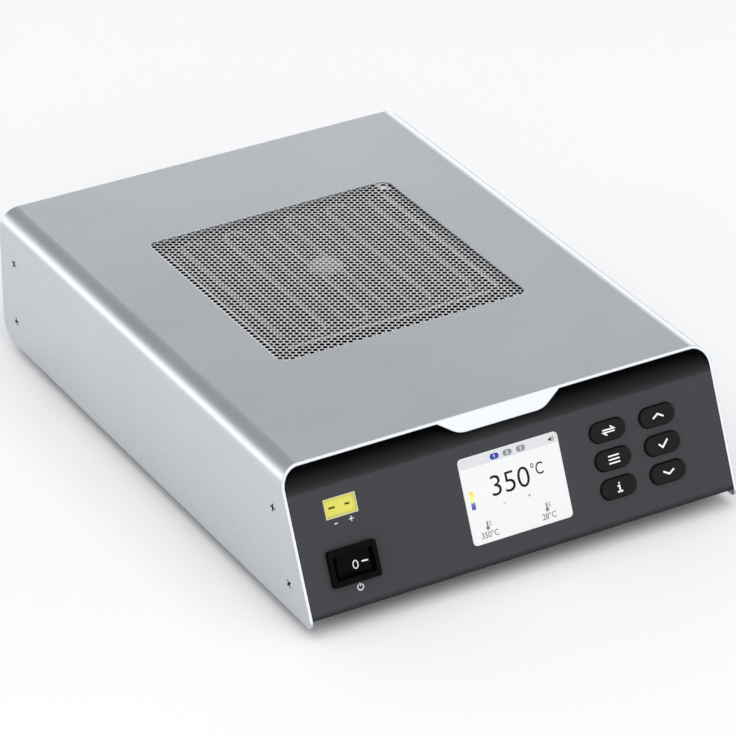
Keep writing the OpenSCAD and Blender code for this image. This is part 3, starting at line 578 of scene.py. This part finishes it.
def key_plastic():
    """Satin black key caps with a fine grain."""
    f = Finish("key_plastic", Specular_IOR_Level=0.12)
    grain = f.noise(2800.0, 2.0)
    f.feed("Base Color", f.blend(grain, rgb(15, 15, 16), rgb(20, 20, 21)))
    f.feed("Roughness", 0.4 + 0.12 * grain)
    return f.relief(grain, 0.08, 0.00005).material


def switch_plastic():
    """Glossy black moulding with faint ripples."""
    f = Finish("switch_plastic", Specular_IOR_Level=0.03)
    ripple = f.noise(260.0, 2.0)
    f.feed("Base Color", f.blend(ripple, rgb(6, 6, 7), rgb(9, 9, 10)))
    f.feed("Roughness", 0.26 + 0.1 * ripple)
    return f.relief(ripple, 0.04, 0.00008, 0.0004).material


def socket_plastic():
    """Yellow moulded thermocouple socket, a little mottled, with a painted highlight: paler on the rim in
    front of its sunk face, where light catches its walls.
    The distance in front of the panel is (z - Z_TOP) sin LEAN - (y - Y_BROW) cos LEAN."""
    f = Finish("socket_plastic", Specular_IOR_Level=0.2)
    mottle = f.noise(420.0, 3.0)
    proud = (f.axis(2) - MM * Z_TOP) * math.sin(LEAN) - (f.axis(1) - MM * Y_BROW) * math.cos(LEAN)
    yellow = f.blend(mottle, rgb(214, 207, 90), rgb(222, 216, 102))
    # Painted highlight: the rim in front of the sunk face is painted pale
    f.feed("Base Color", f.blend(proud > -MM * SOCKET_HIGHLIGHT_DEPTH, yellow, rgb(206, 203, 164)))
    f.feed("Roughness", 0.42 + 0.12 * mottle)
    return f.relief(mottle, 0.1, 0.00006, 0.0003).material


def plain_brass():
    """Brass terminals with a dull film."""
    f = Finish("plain_brass", Metallic=1.0)
    film = f.noise(500.0, 4.0)
    f.feed("Base Color", f.blend(film, rgb(204, 170, 92), rgb(226, 196, 122)))
    f.feed("Roughness", 0.28 + 0.2 * film)
    return f.relief(film, 0.06, 0.00004, 0.0002).material


def contact_plating():
    """Tinned contacts and pins."""
    f = Finish("contact_plating", Metallic=1.0)
    film = f.noise(800.0, 3.0)
    f.feed("Base Color", f.blend(film, rgb(198, 198, 196), rgb(224, 224, 222)))
    f.feed("Roughness", 0.24 + 0.16 * film)
    return f.relief(film, 0.05, 0.00003, 0.0002).material


def white_print():
    """White printed marks: a thin ink layer that varies a little in cover."""
    f = Finish("white_print")
    cover = f.noise(2600.0, 2.0)
    f.feed("Base Color", f.blend(cover, rgb(226, 226, 227), rgb(244, 244, 244)))
    f.feed("Roughness", 0.5 + 0.15 * cover)
    return f.material


def pale_floor():
    """Pale seamless paper."""
    f = Finish("pale_floor", Roughness=0.9, Specular_IOR_Level=0.1)
    fibre = f.noise(900.0, 2.0)
    f.feed("Base Color", f.blend(fibre, rgb(244, 244, 245), rgb(248, 248, 248)))
    return f.material


SLOTS = {
    "cover_aluminium": blasted_aluminium(),
    "panel_plastic": moulded_panel(),
    "dark_sheet": textured_paint(),
    "screw_steel": bright_steel(),
    "foot_rubber": foot_rubber(),
    "guard_steel": punched_steel(),
    "heater_ceramic": heater_ceramic(),
    "sensor_steel": pale_steel(),
    "fibre_board": pressed_fibre(),
    "tray_steel": dark_tray_sheet(),
    "porcelain": porcelain(),
    "board_green": circuit_green(),
    "component_black": moulded_black(),
    "heatsink_aluminium": drawn_aluminium(),
    "display_face": lit_screen(),
    "key_plastic": key_plastic(),
    "switch_plastic": switch_plastic(),
    "terminal_brass": plain_brass(),
    "socket_plastic": socket_plastic(),
    "contact_metal": contact_plating(),
}

for part in frame["record"]["subparts"]:
    solid = frame["nodes"][part["node"]]
    solid.data.materials.clear()
    solid.data.materials.append(SLOTS[part["material_slot"]])

PRINT = white_print()
# This dark ink also paints shade into the screws' cross recesses
INK_AND_RECESS_SHADE = screen_ink("ink_and_recess_shade", 26, 27, 30)
GREY_INK = screen_ink("grey_ink", 140, 141, 146)
TEXT_INK = screen_ink("text_ink", 122, 123, 126)
BLUE_INK = screen_ink("blue_ink", 62, 74, 160)
BAR_INK = screen_ink("bar_ink", 215, 215, 217)
SCALE_INK = thermal_scale()

# Perforated guard over the heater

# The sheet, its lattice of holes, and the screw's place from the window's middle, the same both ways
GUARD_T = 0.3
GUARD_HIGH = Z_TOP - COVER_T
GUARD_LOW = GUARD_HIGH - GUARD_T
GUARD_PITCH = 2.8
GUARD_HOLE = 2.42
GUARD_REACH = 69.5
GUARD_FIELD = 65.5
GUARD_SCREW = 59.7
SCREW_CLEAR = 3.4


def perforated_sheet(pitch, hole, reach, field, low, high):
    """Sheet of six-sided cells on a staggered lattice, x = i pitch cos 30 and y = j pitch, with half a
    pitch more where i is odd. A cell's outline has a corner or a side's middle every 30 degrees.
    Within the field, each cell clear of the screw has a round hole of twelve sides. Neighbours share
    their outline points."""
    column = pitch * math.cos(math.pi / 6)
    count = int(reach / column) + 1
    i, j = np.meshgrid(np.arange(-count, count + 1), np.arange(-count, count + 1), indexing="ij")
    centre = np.stack([i * column, (j + 0.5 * (i % 2)) * pitch], -1).reshape(-1, 2)
    centre = centre[np.abs(centre).max(1) < reach]
    t = np.arange(12) * math.pi / 6
    unit = np.stack([np.cos(t), np.sin(t)], -1)
    radius = np.where(np.arange(12) % 2 == 0, pitch / math.sqrt(3), pitch / 2)
    outline = centre[:, None] + radius[:, None] * unit
    keys, which = np.unique(np.round(outline.reshape(-1, 2), 4), axis=0, return_inverse=True)
    which = which.reshape(-1, 12)
    from_screw = np.linalg.norm(centre - GUARD_SCREW, axis=1)
    is_open = (np.abs(centre).max(1) < field) & (from_screw > SCREW_CLEAR)
    rim = (centre[is_open][:, None] + hole / 2 * unit).reshape(-1, 2)
    n, m = len(keys), len(rim)
    points = np.concatenate([
        np.column_stack([keys, np.full(n, high)]), np.column_stack([keys, np.full(n, low)]),
        np.column_stack([rim, np.full(m, high)]), np.column_stack([rim, np.full(m, low)])])
    outer = which[is_open]
    inner = 2 * n + np.arange(m).reshape(-1, 12)
    outer_next, inner_next = np.roll(outer, -1, 1), np.roll(inner, -1, 1)
    top = np.stack([outer, outer_next, inner_next, inner], -1).reshape(-1, 4)
    under = np.stack([inner + m, inner_next + m, outer_next + n, outer + n], -1).reshape(-1, 4)
    wall = np.stack([inner, inner_next, inner_next + m, inner + m], -1).reshape(-1, 4)
    plain = which[~is_open]
    a, b = which.ravel(), np.roll(which, -1, 1).ravel()
    edge = ~np.isin(a * n + b, b * n + a)
    border = np.stack([a[edge] + n, b[edge] + n, b[edge], a[edge]], -1)
    return points, [top, under, wall, border, plain, plain[:, ::-1] + n]


points, groups = perforated_sheet(GUARD_PITCH, GUARD_HOLE, GUARD_REACH, GUARD_FIELD, GUARD_LOW, GUARD_HIGH)
put("heater_guard_sheet", points + [0, WINDOW_Y, 0], groups, SLOTS["guard_steel"],
    replaces=["heater_guard"], slot="guard_steel", crease=30)

# Screws with cross recesses

COVER_SCREW_HEIGHTS = (13.2, 43.6)
COVER_SCREW_INSET = 14.0
# Turn of the cover's first screw, what each next one adds, and the guard screw's turn, in degrees
COVER_SCREW_TURN = 20
COVER_SCREW_STEP = 23
GUARD_SCREW_TURN = 35
GUARD_HEAD_H = 0.9
INLET_Z = Z_LOW + 27.0
INLET_HEAD_Y = Y_REAR - 0.1
# Where each inlet screw is, across, and how far it is turned
INLET_SCREWS = ((-78.0, 15), (-38.0, 62))


def cross_screw(arm, head, half=0.46, around=96):
    """A screw turned about its axis, its head's top at height 0. The recess is a cross in polar form,
    r = min(arm / cos p, half / sin p) with p the angle to the nearest axis, and narrows as it sinks.
    head lists the (radius, height) pairs from the top's edge to the tip. The recess's faces come first,
    a cap and two bands, and are marked for painted shade: they take the dark ink that darkens the recess."""
    t = np.arange(around) * 2 * np.pi / around
    unit = np.stack([np.cos(t), np.sin(t)], -1)
    p = np.abs((t + np.pi / 4) % (np.pi / 2) - np.pi / 4)
    cross = np.minimum(arm / np.cos(p), half / np.maximum(np.sin(p), 1e-6))
    recess = [(0.45, -1.25), (0.86, -0.75), (1.0, 0.0)]
    rings = [np.column_stack([unit * (k * cross)[:, None], np.full(around, z)]) for k, z in recess]
    rings += [np.column_stack([unit * r, np.full(around, z)]) for r, z in head]
    points, groups = loft(rings)
    dark = np.arange(sum(len(g) for g in groups)) < 1 + 2 * around
    return points, groups, dark


def spun(points, degrees):
    """Local points turned about their upright axis."""
    c, s = math.cos(math.radians(degrees)), math.sin(math.radians(degrees))
    return points @ np.array([[c, s, 0], [-s, c, 0], [0, 0, 1]])


def front_y(z):
    """Where the leaning face is at a height: Y_BROW - (Z_TOP - z) tan LEAN."""
    return Y_BROW - (Z_TOP - z) * math.tan(LEAN)


# Painted shade: the cross recesses of these screws, and of the guard and inlet screws below, take the dark
# ink
points, groups, dark = cross_screw(1.9, [(2.72, 0.0), (2.8, -0.06), (1.5, -1.3), (1.5, -5.0)])
placed = []
seats = [(s, h, r) for s in (-1, 1) for h in COVER_SCREW_HEIGHTS for r in (True, False)]
for k, (side, h, rear) in enumerate(seats):
    z = Z_LOW + h
    y = Y_REAR - COVER_SCREW_INSET if rear else front_y(z) + COVER_SCREW_INSET
    local = spun(points, COVER_SCREW_TURN + COVER_SCREW_STEP * k)
    world = np.stack([side * (CASE_W / 2 + local[:, 2]), y + local[:, 1], z - side * local[:, 0]], -1)
    placed.append((world, groups))
put("cover_screw_set", *join(*placed), SLOTS["cover_aluminium"], replaces=["cover_screws"],
    slot="screw_steel", inner=INK_AND_RECESS_SHADE, inner_faces=np.tile(dark, len(placed)))

points, groups, dark = cross_screw(
    1.4, [(1.9, 0.0), (2.15, -0.12), (2.25, -0.35), (2.25, -0.9), (1.2, -0.9), (1.2, -4.9)])
place = [GUARD_SCREW, WINDOW_Y + GUARD_SCREW, GUARD_HIGH + GUARD_HEAD_H]
put("guard_screw_head", spun(points, GUARD_SCREW_TURN) + place, groups, SLOTS["screw_steel"],
    replaces=["guard_screw"], slot="screw_steel", inner=INK_AND_RECESS_SHADE, inner_faces=dark)

points, groups, dark = cross_screw(
    1.7, [(2.3, 0.0), (2.6, -0.15), (2.7, -0.4), (2.7, -0.9), (1.5, -0.9), (1.5, -8.9)])
placed = []
for x, degrees in INLET_SCREWS:
    local = spun(points, degrees)
    world = np.stack([x + local[:, 0], INLET_HEAD_Y + local[:, 2], INLET_Z - local[:, 1]], -1)
    placed.append((world, groups))
put("inlet_screw_heads", *join(*placed), SLOTS["screw_steel"], replaces=["inlet_screws"],
    slot="screw_steel", inner=INK_AND_RECESS_SHADE, inner_faces=np.tile(dark, len(placed)))

# Keys

KEY_U = (49.4, 74.9)
KEY_V = (25.2, 37.9, 50.6)
KEYS = {
    "swap": (KEY_U[0], KEY_V[0]), "menu": (KEY_U[0], KEY_V[1]), "info": (KEY_U[0], KEY_V[2]),
    "up": (KEY_U[1], KEY_V[0]), "ok": (KEY_U[1], KEY_V[1]), "down": (KEY_U[1], KEY_V[2]),
}
KEY_W = 17.9
KEY_H = 8.7
KEY_TOP = 1.3


def key_form():
    """One key: an oval carried along a profile that goes up the flange, up the side, over a quarter
    round and down into a shallow dish, and a turned stem under it."""
    profile = [(-1.35, -3.3), (-1.35, -2.3), (0.0, -2.3)]
    profile += round_over(0.6, -2.2, KEY_TOP)
    profile += [(1.1, KEY_TOP - 0.02), (1.9, KEY_TOP - 0.09), (2.8, KEY_TOP - 0.14),
                (3.7, KEY_TOP - 0.16)]
    cap = stepped_plate(KEY_W, KEY_H, KEY_H / 2, profile, 16)
    stem = turned([(1.7, -5.1), (1.7, -3.3)])
    return join(cap, stem)


# Strokes of each key's sign, as paths in the key's own plane, and the width of the pen
KEY_SIGNS = {
    "swap": (0.62, [[(-2.8, 0.55), (2.8, 0.55), (1.2, 1.75)],
                    [(2.8, -0.55), (-2.8, -0.55), (-1.2, -1.75)]]),
    "menu": (0.66, [[(-2.5, h), (2.5, h)] for h in (1.6, 0.0, -1.6)]),
    "info": (0.78, [[(0.0, 1.95), (0.0, 2.0)], [(-0.7, 0.75), (0.0, 0.75), (0.0, -1.8)],
                    [(-1.0, -1.8), (1.0, -1.8)]]),
    "up": (0.8, [[(-2.5, -0.7), (0.0, 0.8), (2.5, -0.7)]]),
    "ok": (0.8, [[(-2.1, 0.1), (-0.6, -1.4), (2.2, 1.5)]]),
    "down": (0.8, [[(-2.5, 0.7), (0.0, -0.8), (2.5, 0.7)]]),
}

key_points, key_groups = key_form()
for name, (u, v) in KEYS.items():
    put("key_" + name + "_cap", on_face(key_points, u, v), key_groups, SLOTS["key_plastic"],
        body=name + "_key_body", replaces=["key_" + name], slot="key_plastic")
    pen_width, paths = KEY_SIGNS[name]
    signs = [slab(stroke(path, pen_width), KEY_TOP - 0.3, KEY_TOP + 0.02) for path in paths]
    points, groups = join(*signs)
    put("key_" + name + "_mark", on_face(points, u, v), groups, PRINT, body=name + "_key_body",
        slot="key_plastic")

# Power rocker

LEFT_U = -82.6
SWITCH_V = 48.05
PIVOT_DEPTH = 4.5
ROCKER_TILT = math.radians(6.0)
# Half the rocker's length, and its height over the pivot in the valley and at the tips
HALF = 8.6
VALLEY = 2.1
TIP = VALLEY + HALF * math.tan(math.radians(20.0))


def rocker_place(local):
    """Points about the pivot (right, up the slope, outwards), tipped to the right and set in the switch."""
    c, s = math.cos(ROCKER_TILT), math.sin(ROCKER_TILT)
    turn = np.array([[c, 0, -s], [0, 1, 0], [s, 0, c]])
    return on_face(np.asarray(local, float) @ turn + [0, 0, -PIVOT_DEPTH], LEFT_U, SWITCH_V)


def rocker_face(x):
    """Height of the rocker's faces over the pivot: two slopes from the valley, each a little hollow."""
    t = np.abs(x) / HALF
    return VALLEY + (TIP - VALLEY) * t - 0.35 * np.sin(np.pi * t)


def rocker_form():
    """The rocker's side outline carried along the slope, drawn in a little at both ends."""
    x = np.linspace(-HALF + 0.45, HALF - 0.45, 33)
    top = np.stack([x, rocker_face(x)], -1)
    right = np.array([[HALF - 0.12, TIP - 0.3], [HALF, TIP - 0.7], [HALF, TIP - 2.4],
                      [2.6, -2.6]])
    outline = np.concatenate([top, right, (right * [-1, 1])[::-1]])
    stations = [(-5.0, 0.965), (-4.9, 0.985), (-4.65, 1.0), (4.65, 1.0), (4.9, 0.985), (5.0, 0.965)]
    rings = [np.stack([k * outline[:, 0], np.full(len(outline), y), k * outline[:, 1]], -1)
             for y, k in stations]
    pivot = turned([(1.3, -6.4), (1.3, 6.4)])
    axle = np.stack([pivot[0][:, 0], pivot[0][:, 2], pivot[0][:, 1]], -1)
    return join(loft(rings), facing_out(axle, pivot[1]))


points, groups = rocker_form()
put("power_rocker_form", rocker_place(points), groups, SLOTS["switch_plastic"], body="rocker_body",
    replaces=["power_rocker"], slot="switch_plastic", crease=28)


def on_rocker(points):
    """Flat marks (x, y, lift) laid on the rocker's hollow face."""
    points = np.asarray(points, float)
    lifted = points[:, 2] + rocker_face(points[:, 0])
    return rocker_place(np.stack([points[:, 0], points[:, 1], lifted], -1))


zero = closed_band(1.05, 0.5, -0.1, 0.03, 1.6)
bar_path = np.stack([np.linspace(4.9, 6.9, 13), np.full(13, -0.45)], -1)
bar = slab(stroke(bar_path, 0.72), -0.1, 0.03)
points, groups = join((zero[0] + [1.9, -1.15, 0], zero[1]), bar)
put("power_rocker_marks", on_rocker(points), groups, PRINT, body="rocker_body", slot="switch_plastic")

# Display

DISPLAY_V = 37.9
DISPLAY_W = 50.0
DISPLAY_H = 38.2
# Height of the glass over the panel, and the height just under it where the shapes on it start
GLASS = 0.2
SUNK = GLASS - 0.05
# Row of the three presets: its place down the panel, their places across and their size
PRESET_V = 21.6
PRESET_U = (-7.05, -0.55, 6.15)
PRESET_W = 4.5
PRESET_H = 2.6
# Status bar and colour scale: left, right, top and foot
STATUS_BAR = (-24.6, 24.6, 19.15, 23.6)
COLOUR_SCALE = (-22.5, -20.5, 33.6, 41.5)
# Places of the speaker, the signs under the reading, the two thermometers and the values under them
SPEAKER_U = 21.2
WAVES_U = 21.1
SIGNS_V = 42.4
MINUS_U = -6.5
PLUS_U = 5.9
PROBE_U = (-16.8, 13.0)
PROBE_V = 50.7
VALUES_V = 54.85

profile = [(-2.0, -3.1), (-2.0, -2.1), (0.0, -2.1)] + round_over(0.3, -2.05, GLASS)
points, groups = stepped_plate(DISPLAY_W, DISPLAY_H, 2.0, profile)
put("display_face_plate", on_face(points, 0, DISPLAY_V), groups, SLOTS["display_face"],
    replaces=["display_window"], slot="display_face")


def shown(name, parts, ink):
    """Flat shapes on the display, in its own plane: u to the right of its middle, v down the panel."""
    points, groups = join(*parts)
    put(name, on_face(points), groups, ink, slot="display_face")


def at(shape, u, v):
    """A shape moved to u across and v down the panel."""
    points, groups = shape
    return points + [u, -v, 0], groups


def strip(u0, u1, v0, v1, r, lift=0.03):
    """A flat rounded bar on the glass."""
    bar = slab(rounded_ring(u1 - u0, v1 - v0, r, 5), SUNK, GLASS + lift)
    return at(bar, (u0 + u1) / 2, (v0 + v1) / 2)


def pen(path, width, u, v, lift=0.04):
    """A pen stroke on the glass, its path's origin at u across and v down the panel."""
    return at(slab(stroke(path, width), SUNK, GLASS + lift), u, v)


def pill(u):
    """The rounded ground of one preset."""
    return strip(u - PRESET_W / 2, u + PRESET_W / 2, PRESET_V - PRESET_H / 2, PRESET_V + PRESET_H / 2, 1.25)


# The presets' numbers, each a pen width and a path
DIGITS = [
    (0.3, [(-0.3, 0.35), (0.0, 0.6), (0.0, -0.6)]),
    (0.28, [(-0.4, 0.35), (-0.1, 0.62), (0.3, 0.4), (0.2, 0.0), (-0.4, -0.6), (0.4, -0.6)]),
    (0.28, [(-0.35, 0.6), (0.3, 0.6), (-0.05, 0.1), (0.35, -0.2), (0.1, -0.6), (-0.35, -0.5)]),
]

shown("screen_status_bar", [strip(*STATUS_BAR, 1.5, 0.02)], BAR_INK)
shown("screen_preset_lit", [pill(PRESET_U[0])], BLUE_INK)
shown("screen_preset_others", [pill(u) for u in PRESET_U[1:]], GREY_INK)
shown("screen_preset_numbers",
      [pen(path, width, u, PRESET_V, 0.06) for u, (width, path) in zip(PRESET_U, DIGITS)],
      SLOTS["display_face"])
cone = [(-1.1, -0.4), (-0.5, -0.4), (0.3, -1.05), (0.3, 1.05), (-0.5, 0.4), (-1.1, 0.4)]
waves = [pen(arc_path(r, -40, 40, 10), 0.25, WAVES_U, PRESET_V) for r in (0.95, 1.6)]
shown("screen_speaker", [at(slab(cone, SUNK, GLASS + 0.04), SPEAKER_U, PRESET_V), *waves], INK_AND_RECESS_SHADE)
shown("screen_scale", [strip(*COLOUR_SCALE, 0.3)], SCALE_INK)
level_dash = [(-0.6, 0), (0.6, 0)]
upright_dash = [(0, -0.6), (0, 0.6)]
minus_and_plus = [(level_dash, MINUS_U), (level_dash, PLUS_U), (upright_dash, PLUS_U)]
shown("screen_signs", [pen(path, 0.3, u, SIGNS_V) for path, u in minus_and_plus], GREY_INK)


def thermometer(u, v):
    """A round bulb, a stem over it and three marks beside the stem."""
    bulb = at(slab(arc_path(0.85, 0, 360)[:-1], SUNK, GLASS + 0.04), u, v)
    marks = [pen([(1.0, h), (1.9, h)], 0.3, u, v) for h in (1.0, 1.8, 2.6)]
    return [bulb, pen([(0.0, 0.6), (0.0, 2.7)], 0.7, u, v, 0.05), *marks]


shown("screen_probe_signs", [part for u in PROBE_U for part in thermometer(u, PROBE_V)], TEXT_INK)


def lettering(name, body, ink, height, u, v, weight, wide):
    """Figures shown on the display: the plain built-in type made into a thin closed mesh, scaled to
    its height in millimetres, widened, and laid on the glass with its middle at u and its foot at v."""
    curve = bpy.data.curves.new(name, "FONT")
    curve.body = body
    curve.align_x = "CENTER"
    curve.extrude = 0.02
    curve.offset = weight
    curve.resolution_u = 6
    maker = bpy.data.objects.new(name + "_maker", curve)
    bpy.context.scene.collection.objects.link(maker)
    graph = bpy.context.evaluated_depsgraph_get()
    mesh = bpy.data.meshes.new_from_object(maker.evaluated_get(graph))
    bpy.data.objects.remove(maker)
    mesh.name = name
    co = np.empty(len(mesh.vertices) * 3, np.float32)
    mesh.vertices.foreach_get("co", co)
    co = co.reshape(-1, 3)
    tall = co[:, 1].max() - co[:, 1].min()
    flat = np.stack([co[:, 0] / tall * height * wide, (co[:, 1] - co[:, 1].min()) / tall * height,
                     np.where(co[:, 2] > 0, GLASS + 0.04, SUNK)], -1)
    mesh.vertices.foreach_set("co", (on_face(flat, u, v) * MM).astype(np.float32).ravel())
    mesh.materials.clear()
    mesh.materials.append(ink)
    mesh.update()
    piece = bpy.data.objects.new(name, mesh)
    bpy.context.scene.collection.objects.link(piece)
    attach(piece, "base")


lettering("screen_reading", "350", INK_AND_RECESS_SHADE, height=8.9, u=-2.05, v=38.4, weight=-0.006, wide=1.06)
lettering("screen_degrees", "\u00b0C", INK_AND_RECESS_SHADE, height=5.6, u=11.95, v=34.9, weight=0.0, wide=0.8)
SMALL_VALUES = [("screen_set_value", "350\u00b0C", -16.35), ("screen_probe_value", "28\u00b0C", 13.35)]
for name, body, u in SMALL_VALUES:
    lettering(name, body, TEXT_INK, height=2.8, u=u, v=VALUES_V, weight=0.006, wide=0.9)

# Printed signs on the panel


def printed(name, strokes, u, v):
    """Strokes printed on the panel as one thin piece, their origin at u across and v down."""
    points, groups = join(*[slab(outline, -0.05, 0.03) for outline in strokes])
    put(name, on_face(points, u, v), groups, PRINT, slot="panel_plastic")


printed("socket_minus_mark", [stroke([(-0.6, 0), (0.6, 0)], 0.42)], -86.3, 29.6)
printed("socket_plus_mark", [stroke([(-1.0, 0), (1.0, 0)], 0.36), stroke([(0, -1.0), (0, 1.0)], 0.36)],
        -78.9, 29.4)
printed("power_mark", [stroke(arc_path(1.35, 125, 415), 0.42), stroke([(0, 0.5), (0, 1.7)], 0.42)],
        -81.3, 58.6)

# Stage, light and camera, in metres

SKY_TINT = (0.97, 0.985, 1.0, 1.0)
FLOOR_REACH = 6.0
# Viewing angle measured from the photograph's straight edges: a level camera, 30 degrees round and up
AZIMUTH, ELEVATION = math.radians(30.067), math.radians(29.881)
EYE = np.array([-0.83358, MM * Y_REAR - 1.5945, MM * Z_LOW + 0.98324])
LENS = 208.63
SENSOR = 36.0


def stand(thing, axes, place):
    """Sets a light or camera at a place, its own x, y and z along the three axes."""
    rows = np.column_stack([*axes, place])
    thing.matrix_world = Matrix([*rows.tolist(), [0, 0, 0, 1]])


def soft_light(name, place, size, power):
    """A square soft box at a place, in metres, facing straight down."""
    data = bpy.data.lights.new(name, "AREA")
    data.shape = "SQUARE"
    data.size = size
    data.energy = power
    lamp = bpy.data.objects.new(name, data)
    bpy.context.scene.collection.objects.link(lamp)
    stand(lamp, np.eye(3), place)


def studio_sky(low, low_angle, high, high_angle):
    """A light tent: one strength up to the low angle over the horizon, another above the high angle, and
    a smooth change between them."""
    world = bpy.data.worlds.new("studio")
    sky = Nodes(world, "Background")
    direction = sky.node("TexCoord")
    height = sky.node("SeparateXYZ", None, {0: direction}, out=2)
    strength = sky.node("MapRange", {"interpolation_type": "SMOOTHSTEP"}, {
        "Value": height, "From Min": math.sin(math.radians(low_angle)),
        "From Max": math.sin(math.radians(high_angle)), "To Min": low, "To Max": high})
    sky.shader.inputs["Color"].default_value = SKY_TINT
    sky.feed("Strength", strength)
    bpy.context.scene.world = world


bpy.context.scene.view_settings.view_transform = "Standard"
studio_sky(low=1.9, low_angle=12.0, high=0.4, high_angle=33.0)
soft_light("overhead_box", place=(-0.5, -0.6, 2.0), size=3.4, power=40.0)

corners = FLOOR_REACH * np.array([[-1, -1, 0], [1, -1, 0], [1, 1, 0], [-1, 1, 0]])
floor_mesh = bpy.data.meshes.new("floor")
floor_mesh.from_pydata(corners.tolist(), [], [(0, 1, 2, 3)])
floor_mesh.materials.append(pale_floor())
floor = bpy.data.objects.new("floor", floor_mesh)
bpy.context.scene.collection.objects.link(floor)

forward = np.array([math.sin(AZIMUTH) * math.cos(ELEVATION), math.cos(AZIMUTH) * math.cos(ELEVATION),
                    -math.sin(ELEVATION)])
right = np.array([math.cos(AZIMUTH), -math.sin(AZIMUTH), 0.0])
up = np.cross(right, forward)
lens = bpy.data.cameras.new("photo_camera")
lens.sensor_width = SENSOR
lens.sensor_fit = "HORIZONTAL"
lens.lens = LENS
lens.clip_end = 50.0
camera = bpy.data.objects.new("photo_camera", lens)
stand(camera, (right, up, -forward), EYE)
bpy.context.scene.collection.objects.link(camera)
bpy.context.scene.camera = camera
